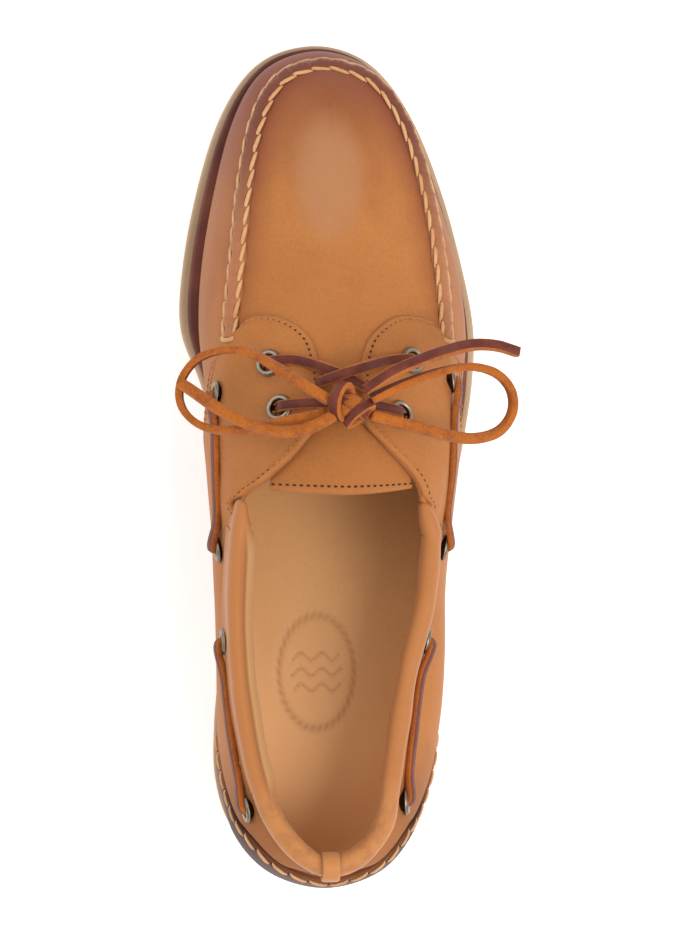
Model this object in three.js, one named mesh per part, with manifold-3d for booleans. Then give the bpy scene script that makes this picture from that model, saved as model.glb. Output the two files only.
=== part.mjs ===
// Boat shoe for a right foot: a hollow moccasin upper on a rubber outsole, laced with rawhide.
// Millimetres. X points to the lateral side, Y to the toe and Z up. The ground is at Z = 0.
import * as THREE from "three";
import { mergeVertices } from "three/addons/utils/BufferGeometryUtils.js";
import Module from "manifold-3d";

const wasm = await Module();
wasm.setup();

// Driving dimensions
const shoeLength = 294.4;
const ballWidth = 105.2;
const instepHeight = 95;
const collarTopHeight = 80;
const toeSpring = 8;
const toeSpringPower = 1.8;
const archRise = 4.5;
const forefootSoleThickness = 9;
const heelSoleThickness = 19;
const midsoleThickness = 3;
const insoleThickness = 3.6;
const upperWall = 2;
const overlayThickness = 1.4;
const ridgeThickness = 1.9;
const seamClearance = 0.3;
const collarRollWidth = 7;
const collarRollHeight = 8.4;
const tongueThickness = 2.4;
const eyeletDiameter = 9.4;
const eyeletBore = 5.8;
const eyeletFlange = 1.1;
const eyeletBarrelWall = 0.7;
const laceWidth = 3.4;
const laceThickness = 2.6;
const backTabWidth = 6.5;
const backTabThickness = 1.2;
const soleLipHeight = 3.2;
const soleLipReach = 0.9;
const soleFootStep = 0.7;
const soleFootBevel = { reach: 3.2, height: 1.8 };
const soleEdgeRound = 0.8;
const midsoleEdgeRound = 0.5;
const insoleEdgeRound = 0.8;

// Steps of the faceted surfaces
const stepsPerRow = 2;
const wallSteps = 4;
const topSteps = 4;
const eyeletSides = 8;
const simplifyTolerance = 0.12;

// A table is a list of rows with named columns.
function table(columns, rows) {
  return rows.map((row) => Object.fromEntries(columns.map((column, index) => [column, row[index]])));
}

// Places in plan are shares: along the shoe from heel to toe, and across it as a share of the
// ball width from the middle line, positive towards that row's own side.
const soleRows = table(["along", "medial", "lateral", "medialFlange", "lateralFlange"], [
  [1.000, 0.046, -0.046, 0.034, 0.034],
  [0.989, 0.190, 0.090, 0.036, 0.036],
  [0.959, 0.295, 0.198, 0.042, 0.042],
  [0.904, 0.381, 0.300, 0.048, 0.046],
  [0.823, 0.448, 0.393, 0.057, 0.052],
  [0.734, 0.493, 0.462, 0.063, 0.056],
  [0.660, 0.500, 0.500, 0.062, 0.063],
  [0.598, 0.437, 0.496, 0.034, 0.059],
  [0.541, 0.386, 0.473, 0.026, 0.052],
  [0.493, 0.369, 0.447, 0.026, 0.044],
  [0.449, 0.358, 0.423, 0.026, 0.038],
  [0.405, 0.354, 0.394, 0.026, 0.034],
  [0.340, 0.357, 0.361, 0.026, 0.030],
  [0.262, 0.373, 0.338, 0.026, 0.028],
  [0.188, 0.392, 0.327, 0.028, 0.028],
  [0.120, 0.389, 0.302, 0.028, 0.028],
  [0.062, 0.335, 0.238, 0.028, 0.028],
  [0.021, 0.214, 0.124, 0.028, 0.028],
  [0.004, 0.049, -0.049, 0.028, 0.028],
]);

// The widest line of the upper, and how far above the feather it lies as a share of the instep.
const lastRows = table(["along", "medial", "lateral", "rise"], [
  [0.986, 0.047, -0.047, 0.116],
  [0.975, 0.177, 0.084, 0.116],
  [0.947, 0.272, 0.182, 0.126],
  [0.894, 0.341, 0.270, 0.132],
  [0.816, 0.394, 0.348, 0.142],
  [0.731, 0.434, 0.416, 0.147],
  [0.656, 0.446, 0.445, 0.147],
  [0.595, 0.432, 0.435, 0.150],
  [0.541, 0.415, 0.416, 0.158],
  [0.493, 0.404, 0.399, 0.168],
  [0.449, 0.395, 0.381, 0.179],
  [0.405, 0.391, 0.364, 0.189],
  [0.340, 0.387, 0.344, 0.195],
  [0.262, 0.383, 0.327, 0.200],
  [0.188, 0.374, 0.307, 0.205],
  [0.120, 0.356, 0.282, 0.210],
  [0.064, 0.323, 0.231, 0.210],
  [0.023, 0.219, 0.124, 0.210],
  [0.006, 0.050, -0.050, 0.210],
]);

// The seam line of the plug, carried back along the quarters: how far it lies inside the widest
// line as a share of the ball width, its height as a share of the instep height, and the power
// of the arch above it.
const seamRows = table(["medialInset", "lateralInset", "height", "arch"], [
  [0.063, 0.063, 0.458, 2.0],
  [0.063, 0.059, 0.463, 2.0],
  [0.065, 0.052, 0.476, 2.0],
  [0.067, 0.052, 0.500, 2.0],
  [0.078, 0.067, 0.537, 2.0],
  [0.092, 0.096, 0.568, 2.0],
  [0.082, 0.110, 0.595, 2.0],
  [0.066, 0.106, 0.621, 2.0],
  [0.049, 0.095, 0.668, 2.0],
  [0.042, 0.095, 0.721, 2.0],
  [0.036, 0.102, 0.758, 2.0],
  [0.032, 0.091, 0.674, 1.4],
  [0.015, 0.052, 0.537, 1.2],
  [0.014, 0.066, 0.526, 1.2],
  [0.019, 0.068, 0.537, 1.2],
  [0.025, 0.060, 0.568, 1.2],
  [0.030, 0.042, 0.600, 1.2],
  [0.028, 0.030, 0.616, 1.2],
  [0.025, 0.025, 0.621, 1.2],
]);

// The spine of the instep, from the plug's front to the tongue.
const spineRows = table(["along", "medial", "height"], [
  [0.914, 0.044, 0.579],
  [0.901, 0.040, 0.590],
  [0.877, 0.032, 0.605],
  [0.836, 0.025, 0.626],
  [0.772, 0.019, 0.661],
  [0.704, 0.017, 0.710],
  [0.643, 0.019, 0.770],
  [0.592, 0.021, 0.834],
  [0.541, 0.023, 0.895],
  [0.493, 0.025, 0.950],
  [0.449, 0.027, 1.000],
]);

// The topline under the padded collar, with the collar's height as a share of its highest point.
const toplineRows = table(["along", "medial", "lateral", "medialHeight", "lateralHeight"], [
  [0.418, 0.357, 0.277, 1.000, 0.975],
  [0.340, 0.360, 0.271, 0.875, 0.838],
  [0.262, 0.351, 0.218, 0.862, 0.831],
  [0.194, 0.327, 0.183, 0.875, 0.850],
  [0.133, 0.291, 0.153, 0.912, 0.894],
  [0.084, 0.234, 0.125, 0.950, 0.938],
  [0.050, 0.152, 0.047, 0.981, 0.975],
  [0.036, 0.061, -0.061, 1.000, 1.000],
]);

const lastRow = soleRows.length - 1;
const spineEnd = spineRows.length - 1;
const toplineStart = lastRow - toplineRows.length + 1;

// Plan coordinates from shares
const yAt = (along) => (along - 0.5) * shoeLength;
const xAt = (across) => across * ballWidth;

// Catmull-Rom value at a fractional row, with the value of any whole row given by a function.
function splineAt(valueOf, row) {
  const start = Math.floor(row);
  const part = row - start;
  const [a, b, c, d] = [start - 1, start, start + 1, start + 2].map(valueOf);
  return b + 0.5 * part * (c - a + part * (2 * a - 5 * b + 4 * c - d + part * (3 * (b - c) + d - a)));
}

// A row beyond the toe or the heel belongs to the other side of the shoe.
function columnValue(rows, side, row, medialKey, lateralKey) {
  const beyond = row < 0 || row > rows.length - 1;
  const index = row < 0 ? -row : row > rows.length - 1 ? 2 * (rows.length - 1) - row : row;
  const lateral = beyond ? side < 0 : side > 0;
  return { value: rows[index][lateral ? lateralKey : medialKey], sign: lateral ? 1 : -1, index };
}

function acrossAt(rows, side, row) {
  return splineAt((whole) => {
    const found = columnValue(rows, side, whole, "medial", "lateral");
    return xAt(found.value) * found.sign;
  }, row);
}

function sharedAt(rows, key, row) {
  return splineAt((whole) => rows[columnValue(rows, 1, whole, key, key).index][key], row);
}

function sidedAt(rows, side, row, medialKey, lateralKey) {
  return splineAt((whole) => columnValue(rows, side, whole, medialKey, lateralKey).value, row);
}

const smooth = (low, high, value) => THREE.MathUtils.smoothstep(value, low, high);

// Heights of the sole along the shoe
const heelFlatEnd = yAt(0.25);
const archTop = yAt(0.38);
const forefootFlatStart = yAt(0.51);
const springStart = yAt(0.76);
const heelRampStart = yAt(0.24);
const heelRampEnd = yAt(0.60);
const toeTipY = yAt(1);

function soleBottom(y) {
  const arch = archRise * smooth(heelFlatEnd, archTop, y) * (1 - smooth(archTop, forefootFlatStart, y));
  const spring = Math.max(0, (y - springStart) / (toeTipY - springStart));
  return arch + toeSpring * spring ** toeSpringPower;
}

function outsoleTop(y) {
  const thickness = THREE.MathUtils.lerp(heelSoleThickness, forefootSoleThickness,
    smooth(heelRampStart, heelRampEnd, y));
  const spring = Math.max(0, (y - springStart) / (toeTipY - springStart));
  return thickness + toeSpring * spring ** toeSpringPower;
}

const midsoleBottom = (y) => outsoleTop(y) + seamClearance;
const midsoleTop = (y) => midsoleBottom(y) + midsoleThickness;
const featherHeight = (y) => midsoleTop(y) + seamClearance;
const insoleBottom = (y) => midsoleTop(y) + seamClearance;
const insoleTop = (y) => insoleBottom(y) + insoleThickness;

// A point of a plan outline moved inwards along its normal by the given inset.
function insetPoint(rows, side, row, inset) {
  const tiny = 0.02;
  const at = (value) => new THREE.Vector2(acrossAt(rows, side, value), yAt(sharedAt(rows, "along", value)));
  const direction = at(row + tiny).sub(at(row - tiny)).normalize();
  const inward = new THREE.Vector2(-direction.y, direction.x).multiplyScalar(side < 0 ? 1 : -1);
  return at(row).add(inward.multiplyScalar(inset));
}

function flangeAt(side, row) {
  return ballWidth * sidedAt(soleRows, side, row, "medialFlange", "lateralFlange");
}

function featherPoint(side, row) {
  const plan = insetPoint(soleRows, side, row, flangeAt(side, row));
  return new THREE.Vector3(plan.x, plan.y, featherHeight(plan.y));
}

function widestPoint(side, row) {
  const plan = insetPoint(lastRows, side, row, 0);
  const rise = instepHeight * sharedAt(lastRows, "rise", row);
  return new THREE.Vector3(plan.x, plan.y, featherHeight(plan.y) + rise);
}

function seamPoint(side, row) {
  const inset = ballWidth * sidedAt(seamRows, side, row, "medialInset", "lateralInset");
  const plan = insetPoint(lastRows, side, row, inset);
  return new THREE.Vector3(plan.x, plan.y, instepHeight * sharedAt(seamRows, "height", row));
}

function spinePoint(row) {
  const held = (key) => splineAt((whole) => spineRows[THREE.MathUtils.clamp(whole, 0, spineEnd)][key], row);
  return new THREE.Vector3(-xAt(held("medial")), yAt(held("along")), instepHeight * held("height"));
}

function toplinePoint(side, row) {
  const place = row - toplineStart;
  const end = toplineRows.length - 1;
  const sided = (medialKey, lateralKey, signed) => splineAt((whole) => {
    const beyond = whole > end;
    const index = beyond ? 2 * end - whole : Math.max(0, whole);
    const lateral = beyond ? side < 0 : side > 0;
    const value = toplineRows[index][lateral ? lateralKey : medialKey];
    return signed && !lateral ? -value : value;
  }, place);
  const x = xAt(sided("medial", "lateral", true));
  const y = yAt(sided("along", "along", false));
  const height = collarTopHeight * sided("medialHeight", "lateralHeight", false);
  return new THREE.Vector3(x, y, height - collarRollHeight - seamClearance);
}

function topPoint(side, row) {
  if (row <= spineEnd) return spinePoint(row);
  if (row >= toplineStart) return toplinePoint(side, row);
  return spinePoint(spineEnd).lerp(toplinePoint(side, toplineStart), row - spineEnd);
}

// The upper's outer surface. side is -1 medial or 1 lateral, row runs from the toe to the heel,
// and level from 0 at the feather through 1 at the seam line to 2 at the spine or topline.
function surface(side, row, level) {
  const seam = seamPoint(side, row);
  if (level <= 1) {
    const foot = featherPoint(side, row);
    const wide = widestPoint(side, row);
    const middle = (wide.z - foot.z) / (seam.z - foot.z);
    const footShare = (level - middle) * (level - 1) / middle;
    const wideShare = level * (level - 1) / (middle * (middle - 1));
    const seamShare = level * (level - middle) / (1 - middle);
    return foot.multiplyScalar(footShare).addScaledVector(wide, wideShare).addScaledVector(seam, seamShare);
  }
  const top = topPoint(side, row);
  const part = level - 1;
  const arch = sharedAt(seamRows, "arch", row);
  const point = seam.clone().lerp(top, part);
  point.z = top.z - (top.z - seam.z) * (1 - part) ** arch;
  return point;
}

// A point of that surface with its outward normal and its direction towards the heel.
function surfaceFrame(side, row, level) {
  const tiny = 0.01;
  const along = surface(side, row + tiny, level).sub(surface(side, row - tiny, level)).normalize();
  const up = surface(side, row, level + tiny).sub(surface(side, row, level - tiny)).normalize();
  const normal = new THREE.Vector3().crossVectors(along, up).multiplyScalar(side < 0 ? 1 : -1).normalize();
  return { point: surface(side, row, level), normal, along };
}

// Closed solids from points and triangles
function solidOf(points, faces) {
  const vertProperties = new Float32Array(points.flatMap((point) => [point.x, point.y, point.z]));
  const triVerts = new Uint32Array(faces.flat());
  const mesh = new wasm.Mesh({ numProp: 3, vertProperties, triVerts });
  mesh.merge();
  return new wasm.Manifold(mesh);
}

function solidOfGeometry(geometry) {
  const bare = geometry.clone();
  bare.deleteAttribute("normal");
  bare.deleteAttribute("uv");
  const merged = mergeVertices(bare, 1e-4);
  const vertProperties = new Float32Array(merged.attributes.position.array);
  const triVerts = new Uint32Array(merged.index.array);
  const mesh = new wasm.Mesh({ numProp: 3, vertProperties, triVerts });
  mesh.merge();
  return new wasm.Manifold(mesh);
}

function geometryOf(solid) {
  const mesh = solid.simplify(simplifyTolerance).getMesh();
  const geometry = new THREE.BufferGeometry();
  const positions = new Float32Array(mesh.numVert * 3);
  for (let vertex = 0; vertex < mesh.numVert; vertex += 1) {
    for (let axis = 0; axis < 3; axis += 1) {
      positions[3 * vertex + axis] = mesh.vertProperties[mesh.numProp * vertex + axis];
    }
  }
  geometry.setAttribute("position", new THREE.BufferAttribute(positions, 3));
  geometry.setIndex(Array.from(mesh.triVerts));
  geometry.computeVertexNormals();
  return geometry;
}

// The largest body of a solid, without the slivers a cut can leave
function largestBody(solid) {
  return solid.decompose().reduce((best, body) => (body.volume() > best.volume() ? body : best));
}

const quad = (a, b, c, d) => [[a, b, c], [a, c, d]];

// The upper's surface as one net of shared points, with a normal for each point
const rowSteps = lastRow * stepsPerRow;
const levelSteps = wallSteps + topSteps;

function buildNet() {
  const points = [];
  const names = new Map();
  const indexOf = (side, step, level) => {
    const onEnd = step === 0 || step === rowSteps;
    const onSpine = level === levelSteps && step / stepsPerRow <= spineEnd;
    const key = `${onEnd || onSpine ? 0 : side}/${step}/${level}`;
    if (!names.has(key)) {
      const height = level <= wallSteps ? level / wallSteps : 1 + (level - wallSteps) / topSteps;
      names.set(key, points.push(surface(side, step / stepsPerRow, height)) - 1);
    }
    return names.get(key);
  };
  const faces = [];
  for (const side of [-1, 1]) {
    for (let step = 0; step < rowSteps; step += 1) {
      for (let level = 0; level < levelSteps; level += 1) {
        const corners = [[step, level], [step + 1, level], [step + 1, level + 1], [step, level + 1]];
        const ring = corners.map(([along, up]) => indexOf(side, along, up));
        if (side > 0) ring.reverse();
        for (const face of quad(...ring)) if (new Set(face).size === 3) faces.push(face);
      }
    }
  }
  const rim = (level, firstStep) => {
    const medial = [];
    const lateral = [];
    for (let step = firstStep; step <= rowSteps; step += 1) {
      medial.push(indexOf(-1, step, level));
      if (step < rowSteps && step > firstStep) lateral.unshift(indexOf(1, step, level));
    }
    return [...medial, ...lateral];
  };
  const normals = points.map(() => new THREE.Vector3());
  for (const [a, b, c] of faces) {
    const across = points[b].clone().sub(points[a]);
    const normal = across.cross(points[c].clone().sub(points[a]));
    for (const index of [a, b, c]) normals[index].add(normal);
  }
  normals.forEach((normal) => normal.normalize());
  return { points, faces, normals, footRim: rim(0, 0), topRim: rim(levelSteps, spineEnd * stepsPerRow) };
}

const net = buildNet();

// A closed shell between two offsets from the upper's outer surface
function shellBetween(inner, outer) {
  const count = net.points.length;
  const moved = (offset) => {
    return net.points.map((point, index) => point.clone().addScaledVector(net.normals[index], offset));
  };
  const points = [...moved(outer), ...moved(inner)];
  const faces = [...net.faces, ...net.faces.map(([a, b, c]) => [a + count, c + count, b + count])];
  const close = (rim, flip) => rim.forEach((index, place) => {
    const next = rim[(place + 1) % rim.length];
    const ring = [index, index + count, next + count, next];
    if (flip) ring.reverse();
    faces.push(...quad(...ring));
  });
  close(net.footRim, false);
  close(net.topRim, true);
  return solidOf(points, faces);
}

// Prisms that cut pieces out of the shells
const reach = 2 * shoeLength;
const planPlace = ([along, across]) => new THREE.Vector2(xAt(across), yAt(along));
const sidePlace = ([along, height]) => new THREE.Vector2(yAt(along), instepHeight * height);

function planPrism(places) {
  const shape = new THREE.Shape(places);
  const geometry = new THREE.ExtrudeGeometry(shape, { depth: reach, bevelEnabled: false });
  return solidOfGeometry(geometry.translate(0, 0, -reach / 2));
}

function sidePrism(places) {
  const shape = new THREE.Shape(places);
  const geometry = new THREE.ExtrudeGeometry(shape, { depth: reach, bevelEnabled: false });
  geometry.translate(0, 0, -reach / 2);
  const turn = new THREE.Matrix4().makeBasis(
    new THREE.Vector3(0, 1, 0), new THREE.Vector3(0, 0, 1), new THREE.Vector3(1, 0, 0));
  return solidOfGeometry(geometry.applyMatrix4(turn));
}

// A closed sweep: a section of points along a list of frames, each with its own scale
function sweep(frames, section) {
  const points = [];
  for (const { centre, out, up, scale } of frames) {
    for (const [a, b] of section) {
      points.push(centre.clone().addScaledVector(out, a * scale).addScaledVector(up, b * scale));
    }
  }
  const size = section.length;
  const faces = [];
  for (let ring = 0; ring < frames.length - 1; ring += 1) {
    for (let corner = 0; corner < size; corner += 1) {
      const next = (corner + 1) % size;
      const base = ring * size;
      faces.push(...quad(base + corner, base + next, base + next + size, base + corner + size));
    }
  }
  for (let corner = 1; corner < size - 1; corner += 1) {
    const end = (frames.length - 1) * size;
    faces.push([0, corner + 1, corner], [end, end + corner, end + corner + 1]);
  }
  const solid = solidOf(points, faces);
  return solid.volume() > 0 ? solid : solidOf(points, faces.map(([a, b, c]) => [a, c, b]));
}

function ovalSection(width, height, count) {
  return Array.from({ length: count }, (unused, index) => {
    const angle = (2 * Math.PI * (index + 0.5)) / count;
    return [0.5 * width * Math.cos(angle), 0.5 * height * Math.sin(angle)];
  });
}

// The padded collar follows the topline from one end of the throat around the heel to the other,
// and reaches a little further forward on both sides.
const collarEndScales = [0.62, 0.85];
const collarInward = 1.0;
const collarFrontReach = 8.5;
const collarFrontRise = 1.6;
const collarCorners = 8;

function collarFrames() {
  const stations = [];
  const steps = (lastRow - toplineStart) * stepsPerRow;
  for (let step = 0; step <= steps; step += 1) stations.push([-1, toplineStart + step / stepsPerRow]);
  for (let step = steps - 1; step >= 0; step -= 1) stations.push([1, toplineStart + step / stepsPerRow]);
  const topline = stations.map(([side, row]) => toplinePoint(side, row));
  const frontOf = ({ x, y, z }) => new THREE.Vector3(x, y + collarFrontReach, z + collarFrontRise);
  const line = [frontOf(topline[0]), ...topline, frontOf(topline[topline.length - 1])];
  return line.map((point, index) => {
    const before = line[Math.max(0, index - 1)];
    const after = line[Math.min(line.length - 1, index + 1)];
    const along = after.clone().sub(before).normalize();
    const out = new THREE.Vector3().crossVectors(new THREE.Vector3(0, 0, 1), along).normalize().negate();
    const up = new THREE.Vector3().crossVectors(along, out).normalize();
    if (up.z < 0) up.negate();
    const fromEnd = Math.min(index, line.length - 1 - index);
    const centre = point.clone().addScaledVector(out, -collarInward);
    centre.z += 0.5 * collarRollHeight + seamClearance;
    return { centre, out, up, scale: collarEndScales[fromEnd] ?? 1 };
  });
}

const collarLine = collarFrames();

// The roll itself, or the room around it that is cut out of its neighbours
function collarRoll(growth) {
  const frames = collarLine.map((frame, index) => {
    const isEnd = index === 0 || index === collarLine.length - 1;
    return { ...frame, centre: frame.centre.clone().add(new THREE.Vector3(0, isEnd ? growth : 0, 0)) };
  });
  const section = ovalSection(collarRollWidth + 2 * growth, collarRollHeight + 2 * growth, collarCorners);
  return sweep(frames, section);
}

const collarRoom = collarRoll(seamClearance);

// Lines in plan, as shares along the shoe and across it
const throatLine = [
  [0.545, -0.100], [0.522, -0.148], [0.502, -0.196], [0.477, -0.276], [0.467, -0.314], [0.459, -0.335],
  [0.442, -0.345], [0.425, -0.368], [0.402, -0.368], [0.300, -0.120], [0.300, 0.120], [0.402, 0.284],
  [0.424, 0.284], [0.442, 0.244], [0.459, 0.230], [0.468, 0.223], [0.479, 0.206], [0.491, 0.178],
  [0.522, 0.091], [0.545, 0.036],
];
const lobeLines = {
  medial: [
    [0.616, -0.900], [0.616, -0.332], [0.652, -0.326], [0.664, -0.296], [0.666, -0.247], [0.661, -0.196],
    [0.650, -0.146], [0.635, -0.115], [0.618, -0.100], [0.585, -0.090], [0.545, -0.096], [0.300, 0.000],
    [-0.050, -0.050], [-0.050, -0.900],
  ],
  lateral: [
    [0.618, 0.900], [0.618, 0.303], [0.650, 0.304], [0.661, 0.272], [0.666, 0.214], [0.664, 0.157],
    [0.653, 0.104], [0.637, 0.062], [0.618, 0.040], [0.585, 0.030], [0.545, 0.034], [0.300, 0.000],
    [-0.050, -0.050], [-0.050, 0.900],
  ],
};
// Lines seen from the side, as shares along the shoe and of the instep height. The quarters end
// along the counter's top edge.
const counterFoot = (featherHeight(yAt(0)) + seamClearance) / instepHeight;
const counterEdge = [
  [0.213, 0.270], [0.190, 0.325], [0.152, 0.385], [0.112, 0.440], [0.084, 0.520], [0.060, 0.605],
  [0.030, 0.645], [-0.050, 0.655],
];
const counterLine = [[-0.050, counterFoot], [0.225, counterFoot], ...counterEdge];
const counterLap = 0.007;
const lappedEdge = counterEdge.slice(1).map((place) => place.map((share) => share + counterLap));
const quarterLine = [
  [0.700, 1.200], [0.668, 0.640], [0.630, 0.520], [0.565, 0.440], [0.460, 0.375], [0.330, 0.350],
  [0.230, 0.345], ...lappedEdge, [-0.050, 1.200],
];
const tongueLine = [
  [0.620, -0.180], [0.560, -0.215], [0.500, -0.258], [0.477, -0.284], [0.471, -0.266], [0.467, -0.040],
  [0.466, 0.200], [0.471, 0.216], [0.500, 0.196], [0.560, 0.160], [0.620, 0.130],
];

// Eyelets sit on the facings and along the sides, placed by row and level on the upper
const eyeletPlaces = [
  { name: "eyelet_medial_front", side: -1, row: 6.75, level: 1.36 },
  { name: "eyelet_medial_rear", side: -1, row: 7.70, level: 1.44 },
  { name: "eyelet_lateral_front", side: 1, row: 6.70, level: 1.38 },
  { name: "eyelet_lateral_rear", side: 1, row: 7.85, level: 1.50 },
  { name: "eyelet_medial_side_1", side: -1, row: 7.35, level: 0.88 },
  { name: "eyelet_medial_side_2", side: -1, row: 11.10, level: 0.82 },
  { name: "eyelet_medial_side_3", side: -1, row: 12.62, level: 1.45 },
  { name: "eyelet_medial_side_4", side: -1, row: 15.45, level: 1.45 },
  { name: "eyelet_lateral_side_1", side: 1, row: 7.08, level: 0.97 },
  { name: "eyelet_lateral_side_2", side: 1, row: 11.10, level: 0.80 },
  { name: "eyelet_lateral_side_3", side: 1, row: 12.62, level: 1.45 },
  { name: "eyelet_lateral_side_4", side: 1, row: 15.40, level: 1.48 },
];
const overlaySeat = seamClearance + overlayThickness;
const eyeletLift = 0.5;
const eyeletInnerLip = 0.7;
const barrelRadius = 0.5 * eyeletBore + eyeletBarrelWall;
const barrelDepth = upperWall - seamClearance;

function placeOn(side, row, level, offset) {
  const { point, normal, along } = surfaceFrame(side, row, level);
  const across = new THREE.Vector3().crossVectors(normal, along).normalize();
  const matrix = new THREE.Matrix4().makeBasis(along, across, normal);
  return matrix.setPosition(point.clone().addScaledVector(normal, offset));
}

// The eyelet's profile around its own axis, with height 0 on the overlay
function eyeletGeometry() {
  const bore = 0.5 * eyeletBore;
  const edge = 0.5 * eyeletDiameter;
  const low = -(overlaySeat + barrelDepth);
  const profile = [
    [bore, low], [barrelRadius, low], [barrelRadius, eyeletLift], [edge, eyeletLift],
    [0.5 * (bore + edge), eyeletLift + eyeletFlange], [bore, eyeletLift + eyeletInnerLip], [bore, low],
  ].map(([radius, height]) => new THREE.Vector2(radius, height));
  return new THREE.LatheGeometry(profile, eyeletSides).rotateX(Math.PI / 2);
}

function eyeletHole(place) {
  const geometry = new THREE.CylinderGeometry(barrelRadius + seamClearance, barrelRadius + seamClearance,
    4 * (overlaySeat + barrelDepth), eyeletSides);
  geometry.rotateX(Math.PI / 2);
  geometry.applyMatrix4(placeOn(place.side, place.row, place.level, 0));
  return solidOfGeometry(geometry);
}

const eyeletHoles = wasm.Manifold.union(eyeletPlaces.map(eyeletHole));

// The upper's pieces, each cut from the same surface
const throatCut = planPrism(throatLine.map(planPlace));

function buildUpper() {
  const shell = shellBetween(-upperWall, 0).subtract(throatCut);
  return largestBody(shell.subtract(collarRoom).subtract(eyeletHoles));
}

function buildQuarter(side) {
  const overlay = shellBetween(seamClearance, overlaySeat).subtract(collarRoom).subtract(eyeletHoles);
  const places = lobeLines[side < 0 ? "medial" : "lateral"].map(planPlace);
  const lobe = planPrism(side < 0 ? places : places.reverse());
  const band = sidePrism(quarterLine.map(sidePlace));
  return largestBody(overlay.intersect(lobe).intersect(band).subtract(throatCut));
}

function buildCounter() {
  const overlay = shellBetween(seamClearance, overlaySeat);
  const band = sidePrism(counterLine.map(sidePlace));
  return overlay.intersect(band).subtract(collarRoom);
}

// The raised ridge runs around the plug between two insets of the seam line and ends at the facings
const ridgeHalfWidth = 2.6;
const ridgeEndRow = 6.25;

function buildRidge() {
  const overlay = shellBetween(seamClearance, seamClearance + ridgeThickness);
  const edgeLine = (inset) => {
    const steps = 2 * Math.round(ridgeEndRow * stepsPerRow);
    return Array.from({ length: steps + 1 }, (unused, step) => {
      const place = ridgeEndRow * (1 - (2 * step) / steps);
      const side = place > 0 ? -1 : 1;
      const row = Math.abs(place);
      const here = ballWidth * sidedAt(seamRows, side, row, "medialInset", "lateralInset");
      return insetPoint(lastRows, side, row, here + inset);
    });
  };
  const outer = edgeLine(-ridgeHalfWidth);
  const inner = edgeLine(ridgeHalfWidth);
  return overlay.intersect(planPrism([...outer, ...inner.reverse()]));
}

function buildTongue() {
  const top = -(upperWall + seamClearance);
  return shellBetween(top - tongueThickness, top).intersect(planPrism(tongueLine.map(planPlace)));
}

// Sole layers: plan rings at several levels, closed above and below by rungs across the shoe
function soleLayer(levels) {
  const points = [];
  const rings = levels.map(({ inset, height }) => {
    const ring = { medial: [], lateral: [] };
    for (let step = 0; step <= rowSteps; step += 1) {
      const row = step / stepsPerRow;
      for (const side of [-1, 1]) {
        const onEnd = step === 0 || step === rowSteps;
        if (side > 0 && onEnd) {
          ring.lateral.push(ring.medial[step]);
        } else {
          const plan = insetPoint(soleRows, side, row, inset(side, row));
          const index = points.push(new THREE.Vector3(plan.x, plan.y, height(plan.y))) - 1;
          ring[side < 0 ? "medial" : "lateral"].push(index);
        }
      }
    }
    return ring;
  });
  const faces = [];
  const add = (a, b, c, d) => {
    for (const face of quad(a, b, c, d)) if (new Set(face).size === 3) faces.push(face);
  };
  for (let step = 0; step < rowSteps; step += 1) {
    for (let level = 0; level < rings.length - 1; level += 1) {
      const [low, high] = [rings[level], rings[level + 1]];
      add(low.medial[step], low.medial[step + 1], high.medial[step + 1], high.medial[step]);
      add(low.lateral[step + 1], low.lateral[step], high.lateral[step], high.lateral[step + 1]);
    }
    const [bottom, top] = [rings[0], rings[rings.length - 1]];
    add(bottom.medial[step], bottom.lateral[step], bottom.lateral[step + 1], bottom.medial[step + 1]);
    add(top.medial[step], top.medial[step + 1], top.lateral[step + 1], top.lateral[step]);
  }
  const solid = solidOf(points, faces);
  return solid.volume() > 0 ? solid : solidOf(points, faces.map(([a, b, c]) => [a, c, b]));
}

const fixedInset = (value) => () => value;

// The outsole's side stands in under the lip, and its foot and top edge are rounded off
function buildOutsole() {
  const lipUnderside = soleLipHeight + 0.5 * soleLipReach;
  return soleLayer([
    { inset: fixedInset(soleFootBevel.reach), height: soleBottom },
    { inset: fixedInset(soleLipReach + soleFootStep), height: (y) => soleBottom(y) + soleFootBevel.height },
    { inset: fixedInset(soleLipReach), height: (y) => outsoleTop(y) - lipUnderside },
    { inset: fixedInset(0), height: (y) => outsoleTop(y) - soleLipHeight },
    { inset: fixedInset(0), height: (y) => outsoleTop(y) - soleEdgeRound },
    { inset: fixedInset(soleEdgeRound), height: outsoleTop },
  ]);
}

const midsoleShare = 0.42;
const midsoleInset = (side, row) => midsoleShare * flangeAt(side, row);

function buildMidsole() {
  return soleLayer([
    { inset: midsoleInset, height: midsoleBottom },
    { inset: midsoleInset, height: (y) => midsoleTop(y) - midsoleEdgeRound },
    { inset: (side, row) => midsoleInset(side, row) + midsoleEdgeRound, height: midsoleTop },
  ]);
}

// The insole lies inside the wall, with a little room around it
const insoleRoom = upperWall + 1.2;

function buildInsole() {
  const edge = (side, row) => flangeAt(side, row) + insoleRoom;
  return soleLayer([
    { inset: edge, height: insoleBottom },
    { inset: edge, height: (y) => insoleTop(y) - insoleEdgeRound },
    { inset: (side, row) => edge(side, row) + insoleEdgeRound, height: insoleTop },
  ]);
}

// The narrow strap over the collar at the heel, from its outer side to its inner one
const backTabRoom = { across: 1.0, above: 0.4 };
const backTabStart = -0.15 * Math.PI;
const backTabEnd = 1.1 * Math.PI;
const backTabSteps = 8;

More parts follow.
